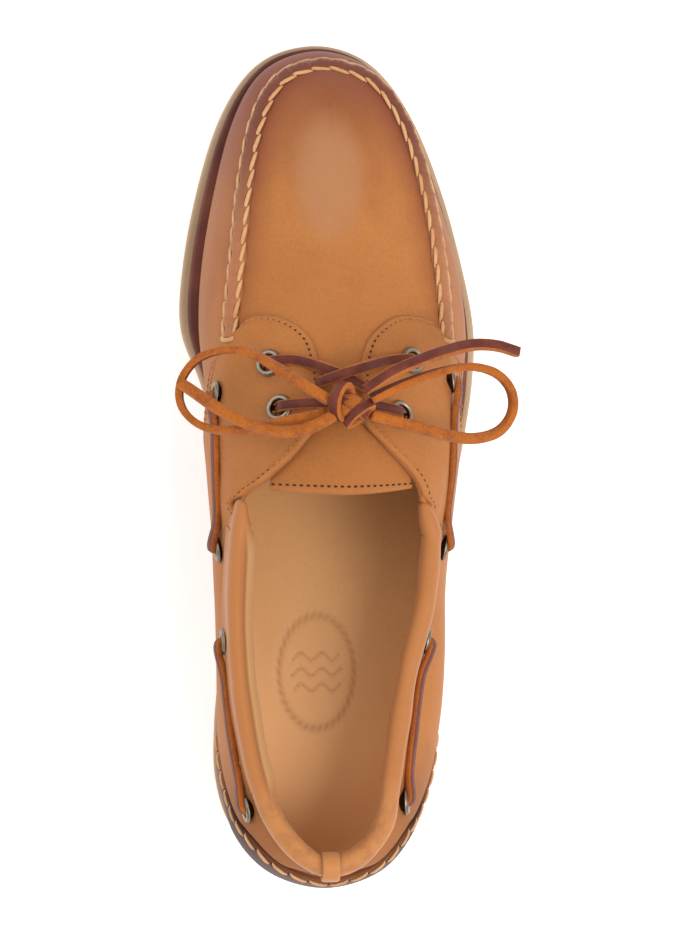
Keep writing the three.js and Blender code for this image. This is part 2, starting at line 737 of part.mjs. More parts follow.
function buildBackTab() {
  const back = collarLine[(collarLine.length - 1) / 2];
  const inner = {
    width: 0.5 * collarRollWidth + backTabRoom.across,
    height: 0.5 * collarRollHeight + backTabRoom.above,
  };
  const outer = { width: inner.width + backTabThickness, height: inner.height + backTabThickness };
  const arc = ({ width, height }) => Array.from({ length: backTabSteps + 1 }, (unused, index) => {
    const angle = THREE.MathUtils.lerp(backTabStart, backTabEnd, index / backTabSteps);
    const { y, z } = back.centre;
    return new THREE.Vector2(y - width * Math.cos(angle), z + height * Math.sin(angle));
  });
  const shape = new THREE.Shape([...arc(outer), ...arc(inner).reverse()]);
  const geometry = new THREE.ExtrudeGeometry(shape, { depth: backTabWidth, bevelEnabled: false });
  geometry.translate(0, 0, -0.5 * backTabWidth);
  geometry.applyMatrix4(new THREE.Matrix4().makeBasis(
    new THREE.Vector3(0, 1, 0), new THREE.Vector3(0, 0, 1), new THREE.Vector3(1, 0, 0)));
  return geometry.translate(back.centre.x, 0, 0);
}

// Rawhide: a flat lace with its corners taken off
const laceSection = [
  [-0.5, 0], [-0.38, -0.5], [0.38, -0.5], [0.5, 0], [0.38, 0.5], [-0.38, 0.5],
].map(([a, b]) => [a * laceWidth, b * laceThickness]);
const laceLie = overlaySeat + seamClearance + 0.5 * laceThickness;
const laceSeat = laceLie + eyeletLift + eyeletFlange;
const laceEndDepth = 1.5;
const laceCurveSteps = 10;

// A sweep along a line of points, its flat side turned by one direction for each point
function laceSweep(line, outAt) {
  return sweep(line.map((centre, index) => {
    const before = line[Math.max(0, index - 1)];
    const after = line[Math.min(line.length - 1, index + 1)];
    const along = after.clone().sub(before).normalize();
    const up = new THREE.Vector3().crossVectors(outAt(index, along), along).normalize();
    const out = new THREE.Vector3().crossVectors(along, up).normalize();
    return { centre, out, up, scale: 1 };
  }), laceSection);
}

// An open run of the side lace: out of one eyelet, along the quarter and into the next
const laceRunShares = [0.22, 0.5, 0.78];
const laceHump = 0.3;
const laceRunSlack = 0.1;

function buildSideLace(first, second) {
  const frameAt = (part, offset) => {
    const row = THREE.MathUtils.lerp(first.row, second.row, part);
    const level = THREE.MathUtils.lerp(first.level, second.level, part);
    const frame = surfaceFrame(first.side, row, level);
    return { ...frame, point: frame.point.addScaledVector(frame.normal, offset) };
  };
  const stations = [
    frameAt(0, -laceEndDepth), frameAt(0, laceSeat + laceHump),
    ...laceRunShares.map((part) => frameAt(part, laceLie + laceRunSlack)),
    frameAt(1, laceSeat + laceHump), frameAt(1, -laceEndDepth),
  ];
  const curve = new THREE.CatmullRomCurve3(stations.map(({ point }) => point), false, "centripetal");
  const line = curve.getPoints(laceCurveSteps);
  const normal = stations[Math.floor(stations.length / 2)].normal;
  const run = line[line.length - 1].clone().sub(line[0]);
  const out = new THREE.Vector3().crossVectors(run, normal).normalize();
  return laceSweep(line, () => out);
}

// A lace over the instep, along chosen points from one side to the other
function laceAlong(points, steps) {
  const line = new THREE.CatmullRomCurve3(points, false, "centripetal").getPoints(steps);
  const forward = new THREE.Vector3(0, 1, 0);
  return laceSweep(line, () => forward);
}

const eyelet = (name) => eyeletPlaces.find((place) => place.name === name);
const above = ({ side, row, level }, offset) => {
  const { point, normal } = surfaceFrame(side, row, level);
  return point.addScaledVector(normal, offset);
};
const tipped = (point, x, y, z) => point.clone().add(new THREE.Vector3(x, y, z));

// Over the instep the laces stand this far above their seat, at the eyelets and in the middle
const laceRise = { eyelet: 1.0, crossing: 2.2, bridge: 2.1 };

// The crossing leaves the front eyelets. The lateral lace passes over the medial one and both
// dip in front of the other facing. The points are chosen places, in millimetres.
const crossingRow = 6.75;
const crossingSteps = 12;
const crossingBars = [
  { from: "eyelet_medial_front", shoulder: [8, 0.5, 2.6], over: [-3, -1.5, 0], end: [5.5, -6, -1.6] },
  { from: "eyelet_lateral_front", shoulder: [-8, -0.5, 3.4], over: [1, -1.2, 3.0], end: [-7.5, -4.5, 0] },
];

function buildCrossing() {
  const middle = tipped(spinePoint(crossingRow), 0, 0, laceSeat + laceRise.crossing);
  const bars = crossingBars.map(({ from, shoulder, over, end }) => {
    const start = above(eyelet(from), laceSeat + laceRise.eyelet);
    const points = [above(eyelet(from), -laceEndDepth), start, tipped(start, ...shoulder),
      tipped(middle, ...over), tipped(middle, ...end)];
    return laceAlong(points, crossingSteps);
  });
  return bars[0].add(bars[1]);
}

// The bridge joins the rear eyelets under the knot
const bridgeRow = 7.55;
const bridgeSteps = 16;
const bridgeShoulders = [[-9, 0.4, -1.2], [9, -0.4, -1.4]];

function buildBridge() {
  const [medial, lateral] = [eyelet("eyelet_medial_rear"), eyelet("eyelet_lateral_rear")];
  const middle = tipped(spinePoint(bridgeRow), 0, 0, laceSeat + laceRise.bridge);
  const [left, right] = bridgeShoulders.map((shoulder) => tipped(middle, ...shoulder));
  return laceAlong([
    above(medial, -laceEndDepth), above(medial, laceSeat + laceRise.eyelet), left, middle, right,
    above(lateral, laceSeat + laceRise.eyelet), above(lateral, -laceEndDepth),
  ], bridgeSteps);
}

// The bow, with its knot above the bridge. The points are chosen places, in millimetres.
const knotCentre = new THREE.Vector3(-1.5, 18.0, 95.1);
const knotSize = new THREE.Vector3(13, 11, 8);
const knotFacets = { around: 12, over: 8 };
const bowRoutes = {
  loop_medial: [
    [-8.6, 19.5, 95.6], [-15, 23.5, 95.1], [-24, 29.5, 91.1], [-34, 35.5, 85.6], [-43, 36.5, 80.6],
    [-51, 33.5, 76.1], [-56, 26.5, 73.6], [-56, 18.5, 73.1], [-51, 12.5, 75.1], [-43, 10, 79.1],
    [-33, 10.5, 85.1], [-22, 13, 90.6], [-9.5, 15.6, 93.1],
  ],
  loop_lateral: [
    [5, 20.2, 95.4], [12, 23.5, 94.6], [21, 27, 90.6], [31, 30, 84.6], [41, 31.5, 78.1], [50, 29.5, 73.1],
    [55.5, 24, 70.6], [56, 16.5, 70.6], [51, 10, 73.1], [42, 7.5, 78.1], [32, 8.5, 83.6],
    [20, 11.5, 89.1], [5.4, 15, 92.6],
  ],
  end_medial: [
    [-7.3, 14.7, 97], [-16, 10.5, 97.1], [-26, 9.5, 93.6], [-36, 12.5, 89.6], [-45, 17.5, 85.1],
    [-52, 22.5, 81.3], [-57, 26, 79.3],
  ],
  end_lateral: [
    [2.7, 23, 97.9], [11, 28.5, 98.7], [20, 32.5, 95.6], [30, 36, 90.1], [40, 38.5, 84.6],
    [49, 38.5, 80.1], [57, 36.5, 77.1],
  ],
};

const cordStepsLeast = 8;
const cordStepWidths = 3;

function cordGeometry(places) {
  const points = places.map((place) => new THREE.Vector3(...place));
  const path = new THREE.CatmullRomCurve3(points, false, "centripetal");
  const shape = new THREE.Shape(laceSection.map(([a, b]) => new THREE.Vector2(b, a)));
  const steps = Math.max(cordStepsLeast, Math.round(path.getLength() / (cordStepWidths * laceWidth)));
  return new THREE.ExtrudeGeometry(shape, { steps, extrudePath: path, bevelEnabled: false });
}

function knotGeometry() {
  const geometry = new THREE.SphereGeometry(0.5, knotFacets.around, knotFacets.over);
  geometry.scale(knotSize.x, knotSize.y, knotSize.z);
  return geometry.translate(knotCentre.x, knotCentre.y, knotCentre.z);
}

// Materials
function finish(color, roughness, metalness = 0) {
  return new THREE.MeshStandardMaterial({ color, roughness, metalness });
}

const materials = {
  nubuck: finish(0xbe7a41, 0.85),
  seam: finish(0xa06a48, 0.8),
  collar: finish(0xd0945a, 0.7),
  lining: finish(0xc89a68, 0.7),
  rubber: finish(0xb09c86, 0.8),
  darkLeather: finish(0x5a2414, 0.6),
  rawhide: finish(0x6a3a34, 0.55),
  metal: finish(0x6f675c, 0.35, 0.9),
};

const shoe = new THREE.Group();
const piece = (name, geometry, material) => {
  const mesh = new THREE.Mesh(geometry, material);
  mesh.name = name;
  shoe.add(mesh);
  return mesh;
};

piece("outsole", geometryOf(buildOutsole()), materials.rubber);
piece("midsole", geometryOf(buildMidsole()), materials.darkLeather);
piece("insole", geometryOf(buildInsole()), materials.lining);
piece("upper", geometryOf(buildUpper()), materials.nubuck);
piece("tongue", geometryOf(buildTongue()), materials.nubuck);
piece("moc_seam", geometryOf(buildRidge()), materials.seam);
piece("quarter_medial", geometryOf(buildQuarter(-1)), materials.nubuck);
piece("quarter_lateral", geometryOf(buildQuarter(1)), materials.nubuck);
piece("heel_counter", geometryOf(buildCounter()), materials.nubuck);
piece("collar", geometryOf(collarRoll(0)), materials.collar);
piece("back_tab", buildBackTab(), materials.collar);

for (const place of eyeletPlaces) {
  const mesh = piece(place.name, eyeletGeometry(), materials.metal);
  const seat = placeOn(place.side, place.row, place.level, overlaySeat);
  seat.decompose(mesh.position, mesh.quaternion, mesh.scale);
}

for (const sideName of ["medial", "lateral"]) {
  const at = (number) => eyelet(`eyelet_${sideName}_side_${number}`);
  piece(`side_lace_${sideName}_front`, geometryOf(buildSideLace(at(1), at(2))), materials.rawhide);
  piece(`side_lace_${sideName}_rear`, geometryOf(buildSideLace(at(3), at(4))), materials.rawhide);
}
piece("lace_crossing", geometryOf(buildCrossing()), materials.rawhide);
piece("lace_bridge", geometryOf(buildBridge()), materials.rawhide);
piece("lace_knot", knotGeometry(), materials.rawhide);
for (const [name, places] of Object.entries(bowRoutes)) {
  piece(name, cordGeometry(places), materials.rawhide);
}

export default shoe;
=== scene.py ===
"""A right boat shoe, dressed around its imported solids: nubuck, hand stitches, rawhide laces and rubber."""

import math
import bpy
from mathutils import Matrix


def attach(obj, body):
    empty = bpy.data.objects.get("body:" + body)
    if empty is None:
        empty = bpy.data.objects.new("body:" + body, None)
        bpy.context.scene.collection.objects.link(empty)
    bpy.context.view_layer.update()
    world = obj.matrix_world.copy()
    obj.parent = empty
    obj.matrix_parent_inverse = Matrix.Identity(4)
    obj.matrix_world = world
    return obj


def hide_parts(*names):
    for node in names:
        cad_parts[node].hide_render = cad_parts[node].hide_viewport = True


bl_info = {
    "name": "Boat Shoe Builder",
    "version": (1, 0, 0),
    "blender": (4, 5, 0),
    "location": "View3D > Sidebar > Boat Shoe",
    "description": "Builds a laced moccasin shoe around its fixed solids",
    "category": "Object",
}

import bmesh
import bpy
import numpy as np
from mathutils import Matrix, Vector
from mathutils.kdtree import KDTree

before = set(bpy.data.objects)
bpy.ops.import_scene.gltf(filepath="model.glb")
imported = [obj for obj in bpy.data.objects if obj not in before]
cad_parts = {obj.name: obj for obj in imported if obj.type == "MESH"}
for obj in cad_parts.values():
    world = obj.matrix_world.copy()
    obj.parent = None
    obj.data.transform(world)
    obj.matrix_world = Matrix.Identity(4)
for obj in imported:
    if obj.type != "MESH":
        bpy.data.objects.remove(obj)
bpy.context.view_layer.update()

MM = 0.001

# Sizes of the shoe in millimetres, the same as the solids
SHOE_LENGTH = 294.4
BALL_WIDTH = 105.2
INSTEP_HEIGHT = 95.0
COLLAR_TOP = 80.0
TOE_SPRING = 8.0
ARCH_RISE = 4.5
FOREFOOT_SOLE = 9.0
HEEL_SOLE = 19.0
MIDSOLE = 3.0
INSOLE = 3.6
WALL = 2.0
OVERLAY = 1.4
CLEARANCE = 0.3
ROLL_WIDTH = 7.0
ROLL_HEIGHT = 8.4
TONGUE = 2.4
EYELET_DIAMETER = 9.4
EYELET_BORE = 5.8
LACE_WIDTH = 3.4
LACE_THICKNESS = 2.6
LIP_HEIGHT = 3.2
LIP_REACH = 0.9

# Stretches of the sole, as shares of the shoe's length from the heel
SPRING_START = 0.76
SPRING_POWER = 1.8
ARCH_START, ARCH_MIDDLE, ARCH_END = 0.25, 0.38, 0.51
SLOPE_START, SLOPE_END = 0.24, 0.60


def table(columns, rows):
    """Columns by name from a list of rows."""
    return {name: np.array([row[place] for row in rows], float) for place, name in enumerate(columns)}


# Plan places are shares along the shoe from the heel and of the ball width towards each side
SOLE_ROWS = table(["along", "medial", "lateral", "medial_flange", "lateral_flange"], [
    [1.000, 0.046, -0.046, 0.034, 0.034],
    [0.989, 0.190, 0.090, 0.036, 0.036],
    [0.959, 0.295, 0.198, 0.042, 0.042],
    [0.904, 0.381, 0.300, 0.048, 0.046],
    [0.823, 0.448, 0.393, 0.057, 0.052],
    [0.734, 0.493, 0.462, 0.063, 0.056],
    [0.660, 0.500, 0.500, 0.062, 0.063],
    [0.598, 0.437, 0.496, 0.034, 0.059],
    [0.541, 0.386, 0.473, 0.026, 0.052],
    [0.493, 0.369, 0.447, 0.026, 0.044],
    [0.449, 0.358, 0.423, 0.026, 0.038],
    [0.405, 0.354, 0.394, 0.026, 0.034],
    [0.340, 0.357, 0.361, 0.026, 0.030],
    [0.262, 0.373, 0.338, 0.026, 0.028],
    [0.188, 0.392, 0.327, 0.028, 0.028],
    [0.120, 0.389, 0.302, 0.028, 0.028],
    [0.062, 0.335, 0.238, 0.028, 0.028],
    [0.021, 0.214, 0.124, 0.028, 0.028],
    [0.004, 0.049, -0.049, 0.028, 0.028],
])
LAST_ROWS = table(["along", "medial", "lateral", "rise"], [
    [0.986, 0.047, -0.047, 0.116],
    [0.975, 0.177, 0.084, 0.116],
    [0.947, 0.272, 0.182, 0.126],
    [0.894, 0.341, 0.270, 0.132],
    [0.816, 0.394, 0.348, 0.142],
    [0.731, 0.434, 0.416, 0.147],
    [0.656, 0.446, 0.445, 0.147],
    [0.595, 0.432, 0.435, 0.150],
    [0.541, 0.415, 0.416, 0.158],
    [0.493, 0.404, 0.399, 0.168],
    [0.449, 0.395, 0.381, 0.179],
    [0.405, 0.391, 0.364, 0.189],
    [0.340, 0.387, 0.344, 0.195],
    [0.262, 0.383, 0.327, 0.200],
    [0.188, 0.374, 0.307, 0.205],
    [0.120, 0.356, 0.282, 0.210],
    [0.064, 0.323, 0.231, 0.210],
    [0.023, 0.219, 0.124, 0.210],
    [0.006, 0.050, -0.050, 0.210],
])
SEAM_ROWS = table(["medial", "lateral", "height", "arch"], [
    [0.063, 0.063, 0.458, 2.0],
    [0.063, 0.059, 0.463, 2.0],
    [0.065, 0.052, 0.476, 2.0],
    [0.067, 0.052, 0.500, 2.0],
    [0.078, 0.067, 0.537, 2.0],
    [0.092, 0.096, 0.568, 2.0],
    [0.082, 0.110, 0.595, 2.0],
    [0.066, 0.106, 0.621, 2.0],
    [0.049, 0.095, 0.668, 2.0],
    [0.042, 0.095, 0.721, 2.0],
    [0.036, 0.102, 0.758, 2.0],
    [0.032, 0.091, 0.674, 1.4],
    [0.015, 0.052, 0.537, 1.2],
    [0.014, 0.066, 0.526, 1.2],
    [0.019, 0.068, 0.537, 1.2],
    [0.025, 0.060, 0.568, 1.2],
    [0.030, 0.042, 0.600, 1.2],
    [0.028, 0.030, 0.616, 1.2],
    [0.025, 0.025, 0.621, 1.2],
])
SPINE_ROWS = table(["along", "medial", "height"], [
    [0.914, 0.044, 0.579],
    [0.901, 0.040, 0.590],
    [0.877, 0.032, 0.605],
    [0.836, 0.025, 0.626],
    [0.772, 0.019, 0.661],
    [0.704, 0.017, 0.710],
    [0.643, 0.019, 0.770],
    [0.592, 0.021, 0.834],
    [0.541, 0.023, 0.895],
    [0.493, 0.025, 0.950],
    [0.449, 0.027, 1.000],
])
TOPLINE_ROWS = table(["along", "medial", "lateral", "medial_height", "lateral_height"], [
    [0.418, 0.357, 0.277, 1.000, 0.975],
    [0.340, 0.360, 0.271, 0.875, 0.838],
    [0.262, 0.351, 0.218, 0.862, 0.831],
    [0.194, 0.327, 0.183, 0.875, 0.850],
    [0.133, 0.291, 0.153, 0.912, 0.894],
    [0.084, 0.234, 0.125, 0.950, 0.938],
    [0.050, 0.152, 0.047, 0.981, 0.975],
    [0.036, 0.061, -0.061, 1.000, 1.000],
])
LAST_ROW = len(SOLE_ROWS["along"]) - 1
SPINE_END = len(SPINE_ROWS["along"]) - 1
TOPLINE_START = LAST_ROW - len(TOPLINE_ROWS["along"]) + 1
MEDIAL = -1
LATERAL = 1


def y_at(along):
    return (np.asarray(along) - 0.5) * SHOE_LENGTH


def catmull(padded, place):
    """Catmull-Rom values from a list with one value of padding before it and two after it."""
    place = np.asarray(place, float)
    start = np.clip(np.floor(place).astype(int), 0, len(padded) - 4)
    part = place - start
    if padded.ndim > 1:
        part = part[..., None]
    a, b, c, d = (padded[start + step] for step in range(4))
    return b + 0.5 * part * (c - a + part * (2 * a - 5 * b + 4 * c - d + part * (3 * (b - c) + d - a)))


def padded_ring(own, other):
    """Values of one side with those of the other side beyond the toe and the heel."""
    return np.concatenate([[other[1]], own, [other[-2], other[-3]]])


def padded_line(points):
    points = np.asarray(points, float)
    before = 2 * points[0] - points[1]
    after = 2 * points[-1] - points[-2]
    return np.concatenate([[before], points, [after, after]])


def smooth(low, high, value):
    part = np.clip((np.asarray(value) - low) / (high - low), 0, 1)
    return part * part * (3 - 2 * part)


def sided(rows, side, row, medial="medial", lateral="lateral", signed=False):
    own, other = (rows[medial], rows[lateral]) if side < 0 else (rows[lateral], rows[medial])
    if signed:
        own, other = own * side, -other * side
    return catmull(padded_ring(own, other), row)


def shared(rows, key, row):
    return catmull(padded_ring(rows[key], rows[key]), row)


def spring_at(y):
    start = y_at(SPRING_START)
    return np.clip((y - start) / (y_at(1) - start), 0, None) ** SPRING_POWER


def sole_bottom(y):
    middle = y_at(ARCH_MIDDLE)
    rise = smooth(y_at(ARCH_START), middle, y) * (1 - smooth(middle, y_at(ARCH_END), y))
    return ARCH_RISE * rise + TOE_SPRING * spring_at(y)


def outsole_top(y):
    part = smooth(y_at(SLOPE_START), y_at(SLOPE_END), y)
    return HEEL_SOLE + (FOREFOOT_SOLE - HEEL_SOLE) * part + TOE_SPRING * spring_at(y)


def midsole_bottom(y):
    return outsole_top(y) + CLEARANCE


def midsole_top(y):
    return midsole_bottom(y) + MIDSOLE


def feather_height(y):
    return midsole_top(y) + CLEARANCE


def insole_top(y):
    return feather_height(y) + INSOLE


def outline_point(rows, side, row, inset):
    """Plan points of an outline moved inwards along its normal."""
    def at(value):
        return np.stack([BALL_WIDTH * sided(rows, side, value, signed=True),
                         y_at(shared(rows, "along", value))], -1)
    tiny = 0.02
    step = at(row + tiny) - at(np.maximum(row - tiny, -0.9))
    step /= np.linalg.norm(step, axis=-1, keepdims=True)
    inward = np.stack([-step[..., 1], step[..., 0]], -1) * (1 if side < 0 else -1)
    return at(row) + inward * np.asarray(inset)[..., None]


def flange_at(side, row):
    return BALL_WIDTH * sided(SOLE_ROWS, side, row, "medial_flange", "lateral_flange")


def spine_point(row):
    row = np.clip(row, 0, SPINE_END)

    def held(key):
        values = SPINE_ROWS[key]
        return catmull(np.concatenate([[values[0]], values, [values[-1], values[-1]]]), row)
    return np.stack([-BALL_WIDTH * held("medial"), y_at(held("along")), INSTEP_HEIGHT * held("height")], -1)


def spine_row(along):
    """The row of the spine at a share of the shoe's length."""
    return float(np.interp(-along, -SPINE_ROWS["along"], np.arange(SPINE_END + 1)))


def topline_point(side, row):
    place = np.clip(np.asarray(row) - TOPLINE_START, 0, None)

    def held(medial, lateral, signed=False):
        own, other = TOPLINE_ROWS[medial], TOPLINE_ROWS[lateral]
        if side > 0:
            own, other = other, own
        if signed:
            own, other = own * side, -other * side
        return catmull(np.concatenate([[own[0]], own, [other[-2], other[-3]]]), place)
    height = COLLAR_TOP * held("medial_height", "lateral_height")
    return np.stack([BALL_WIDTH * held("medial", "lateral", True), y_at(held("along", "along")),
                     height - ROLL_HEIGHT - CLEARANCE], -1)


def top_point(side, row):
    row = np.asarray(row, float)
    part = np.clip(row - SPINE_END, 0, 1)[..., None]
    return np.where(row[..., None] >= TOPLINE_START, topline_point(side, row),
                    spine_point(row) * (1 - part) + topline_point(side, TOPLINE_START + 0 * row) * part)


def surface(side, row, level):
    """The upper's outer surface in millimetres. level is 0 at the feather, 1 at the seam line and
    2 at the spine or the topline."""
    row, level = np.broadcast_arrays(np.asarray(row, float), np.asarray(level, float))
    foot_plan = outline_point(SOLE_ROWS, side, row, flange_at(side, row))
    foot = np.concatenate([foot_plan, feather_height(foot_plan[..., 1])[..., None]], -1)
    wide_plan = outline_point(LAST_ROWS, side, row, 0 * row)
    wide_height = feather_height(wide_plan[..., 1]) + INSTEP_HEIGHT * shared(LAST_ROWS, "rise", row)
    wide = np.concatenate([wide_plan, wide_height[..., None]], -1)
    seam_plan = outline_point(LAST_ROWS, side, row, BALL_WIDTH * sided(SEAM_ROWS, side, row))
    seam = np.concatenate([seam_plan, INSTEP_HEIGHT * shared(SEAM_ROWS, "height", row)[..., None]], -1)
    middle = ((wide - foot)[..., 2] / (seam - foot)[..., 2])[..., None]
    low = level[..., None]
    wall = (foot * (low - middle) * (low - 1) / middle + wide * low * (low - 1) / (middle * (middle - 1))
            + seam * low * (low - middle) / (1 - middle))
    top = top_point(side, row)
    part = np.clip(low - 1, 0, 1)
    upper = seam + (top - seam) * part
    arch = shared(SEAM_ROWS, "arch", row)
    upper[..., 2] = top[..., 2] - (top - seam)[..., 2] * (1 - part[..., 0]) ** arch
    return np.where(low <= 1, wall, upper)


def normal_at(side, row, level):
    tiny = 0.03
    row = np.asarray(row, float)
    along = surface(side, row + tiny, level) - surface(side, row - tiny, level)
    high = np.minimum(np.asarray(level) + tiny, 2)
    low = np.maximum(np.asarray(level) - tiny, 0)
    up = surface(side, row, high) - surface(side, row, low)
    normal = np.cross(along, up) * (1 if side < 0 else -1)
    return normal / np.maximum(np.linalg.norm(normal, axis=-1, keepdims=True), 1e-9)


def on_surface(side, row, level, offset):
    return surface(side, row, level) + normal_at(side, row, level) * np.asarray(offset)[..., None]


class Finder:
    """Finds the row and level of a place that is given in plan or from the side."""

    def __init__(self, side):
        self.side = side
        spaced = np.arange(0, LAST_ROW + 0.01, 0.04), np.arange(0, 2.001, 0.02)
        rows, levels = np.meshgrid(*spaced, indexing="ij")
        self.rows, self.levels = rows.ravel(), levels.ravel()
        self.points = surface(side, self.rows, self.levels)
        self.trees = {}

    def tree(self, view):
        if view not in self.trees:
            keep = self.levels >= 0.9 if view == "plan" else self.levels >= 0
            places = np.nonzero(keep)[0]
            tree = KDTree(len(places))
            for place in places:
                x, y, z = self.points[place]
                tree.insert((x, y, 0) if view == "plan" else (y, z, 0), int(place))
            tree.balance()
            self.trees[view] = tree
        return self.trees[view]

    def find(self, view, along, across):
        if view == "row":
            return along, across
        y = float(y_at(along))
        if view == "plan":
            target = (across * BALL_WIDTH, y, 0)
        else:
            target = (y, across * INSTEP_HEIGHT, 0)
        found = self.tree(view).find_n(target, 4)
        weights = np.array([1 / (distance + 0.05) for _, _, distance in found])
        places = [index for _, index, _ in found]
        weights /= weights.sum()
        return float(self.rows[places] @ weights), float(self.levels[places] @ weights)


finders = {side: Finder(side) for side in (MEDIAL, LATERAL)}


# Shader expressions
class Value:
    """A socket whose arithmetic adds Math nodes."""

    def __init__(self, shader, socket):
        self.shader, self.socket = shader, socket

    def maths(self, operation, *others):
        return self.shader.out("ShaderNodeMath", {"operation": operation}, [self, *others])

    def __add__(self, other):
        return self.maths("ADD", other)

    def __sub__(self, other):
        return self.maths("SUBTRACT", other)

    def __mul__(self, other):
        return self.maths("MULTIPLY", other)

    def __truediv__(self, other):
        return self.maths("DIVIDE", other)

    def __rsub__(self, other):
        return self.shader.out("ShaderNodeMath", {"operation": "SUBTRACT"}, [other, self])

    __radd__ = __add__
    __rmul__ = __mul__

    def clamped(self):
        return self.maths("MINIMUM", 1).maths("MAXIMUM", 0)

    def between(self, low, high):
        """A soft step from 0 at low to 1 at high."""
        return self.shader.out("ShaderNodeMapRange", {"interpolation_type": "SMOOTHSTEP"},
                               {"Value": self, "From Min": low, "From Max": high})


class Shader:
    """One material with its principled shader, and the helpers that build its nodes."""

    def __init__(self, name, **constants):
        self.material = bpy.data.materials.new(name)
        self.material.use_nodes = True
        self.tree = self.material.node_tree
        self.surface = self.tree.nodes["Principled BSDF"]
        for key, value in constants.items():
            self.surface.inputs[key.replace("_", " ")].default_value = value

    def node(self, kind, settings=None, values=None):
        made = self.tree.nodes.new(kind)
        for key, value in (settings or {}).items():
            setattr(made, key, value)
        pairs = values.items() if isinstance(values, dict) else enumerate(values or [])
        for key, value in pairs:
            self.feed(made.inputs[key], value)
        return made

    def feed(self, socket, value):
        if isinstance(value, Value):
            self.tree.links.new(value.socket, socket)
        elif socket.type == "RGBA" and len(value) == 3:
            socket.default_value = (*value, 1)
        else:
            socket.default_value = value

    def out(self, kind, settings=None, values=None, output=0):
        return Value(self, self.node(kind, settings, values).outputs[output])

    def place(self):
        return self.out("ShaderNodeTexCoord", output="Object")

    def axis(self, name):
        return self.out("ShaderNodeSeparateXYZ", None, [self.place()], output=name)

    def attribute(self, name):
        return self.out("ShaderNodeAttribute", {"attribute_name": name}, None, output="Fac")

    def noise(self, scale, detail=3.0, roughness=0.55, at=None):
        return self.out("ShaderNodeTexNoise", None, {"Vector": at or self.place(), "Scale": scale,
                                                     "Detail": detail, "Roughness": roughness})

    def stretched(self, scale):
        return self.out("ShaderNodeVectorMath", {"operation": "MULTIPLY"}, [self.place(), scale])

    def mix(self, factor, first, second):
        return self.out("ShaderNodeMix", {"data_type": "RGBA"}, {"Factor": factor, "A": first, "B": second},
                        output="Result")

    def finish(self, colour, roughness, bump=None, distance=0.0003, strength=1.0):
        """Feeds the shader and gives the material. distance is the depth of the bump in metres."""
        self.feed(self.surface.inputs["Base Color"], colour)
        self.feed(self.surface.inputs["Roughness"], roughness)
        if bump is not None:
            values = {"Strength": strength, "Distance": distance, "Height": bump}
            normal = self.out("ShaderNodeBump", None, values, output="Normal")
            self.feed(self.surface.inputs["Normal"], normal)
        return self.material


# Colours, linear
def linear(red, green, blue):
    def curve(value):
        value /= 255
        return value / 12.92 if value <= 0.04045 else ((value + 0.055) / 1.055) ** 2.4
    return curve(red), curve(green), curve(blue)


NUBUCK = linear(165, 102, 48)
NUBUCK_LIGHT = linear(178, 115, 60)
NUBUCK_DARK = linear(138, 78, 33)
# Colour of a painted pinkish highlight on the middle of the plug
NUBUCK_PAINTED_HIGHLIGHT = linear(166, 116, 80)
BURNISH = linear(118, 58, 38)
SEAM_BURNISH = linear(128, 64, 40)
HEEL_BURNISH = linear(58, 22, 14)
COLLAR = linear(174, 113, 58)
LINING = linear(208, 158, 100)
INSOLE_COLOUR = linear(200, 147, 92)
THREAD = linear(200, 152, 102)
GRAIN = linear(84, 32, 22)
SUEDE = linear(164, 88, 26)
RUBBER = linear(172, 142, 112)
# Dark leather of the midsole, partly painted shade of the groove between the outsole and the upper
MIDSOLE_AND_SHADE = linear(86, 34, 20)
# Painted shade inside needle holes and in the crease of the collar's seam
HOLE_SHADE = linear(58, 27, 14)
# Machine stitches in millimetres: the length of one, and the radius of a needle hole
NEEDLE_PITCH = 2.2
NEEDLE_RADIUS = 0.42


def colour_property(name, description, default):
    return bpy.props.FloatVectorProperty(
        name=name, description=description, subtype="COLOR", size=3, default=default, min=0, max=1)


def chosen(name):
    """A colour as it is set in the panel."""
    return tuple(getattr(bpy.context.scene.boat_shoe_colours, name))


def leather_grain(shader, base, light, dark, mottle=55.0):
    """Nubuck colour with its nap, its mottling and broad changes of tone."""
    broad = shader.noise(14.0, 2.0, 0.5)
    middle = shader.noise(mottle, 4.0, 0.6)
    fine = shader.noise(900.0, 3.0, 0.7)
    colour = shader.mix(broad.between(0.35, 0.7) * 0.6, base, light)
    colour = shader.mix(middle.between(0.42, 0.75) * 0.26, colour, dark)
    colour = shader.mix(fine.between(0.35, 0.8) * 0.3, colour, dark)
    speck = shader.noise(1600.0, 2.0, 0.6)
    colour = shader.mix(speck.between(0.55, 0.72) * 0.35, colour, light)
    height = fine * 0.6 + middle * 0.5 + speck * 0.4
    return colour, height


def nubuck_material(name, burnished=True, holes=(), seamed_and_highlit=False, heel_strength=0.4):
    """holes lists (attribute of the distance from an edge, distance in mm)."""
    shader = Shader(name, Sheen_Weight=0.1, Sheen_Roughness=0.45, Specular_IOR_Level=0.28)
    colour, height = leather_grain(shader, chosen("nubuck"), NUBUCK_LIGHT, NUBUCK_DARK)
    if burnished:
        colour = burnish(shader, colour, heel_strength)
    # Seam burnish, with a painted highlight on the middle of the plug
    if seamed_and_highlit:
        colour = seam_burnish_and_painted_highlight(shader, colour)
    for edge, distance in holes:
        mask = needle_holes(shader, edge, distance)
        if edge == "low_mm":
            mask = mask * shader.axis("Y").between(0.004, 0.012)
        # Painted shade inside the needle holes
        colour = shader.mix(mask, colour, HOLE_SHADE)
        height = height - mask * 2.2
    rough = shader.noise(40.0, 2.0, 0.5) * 0.2 + 0.68
    return shader.finish(colour, rough, height, 0.00025, 0.55)


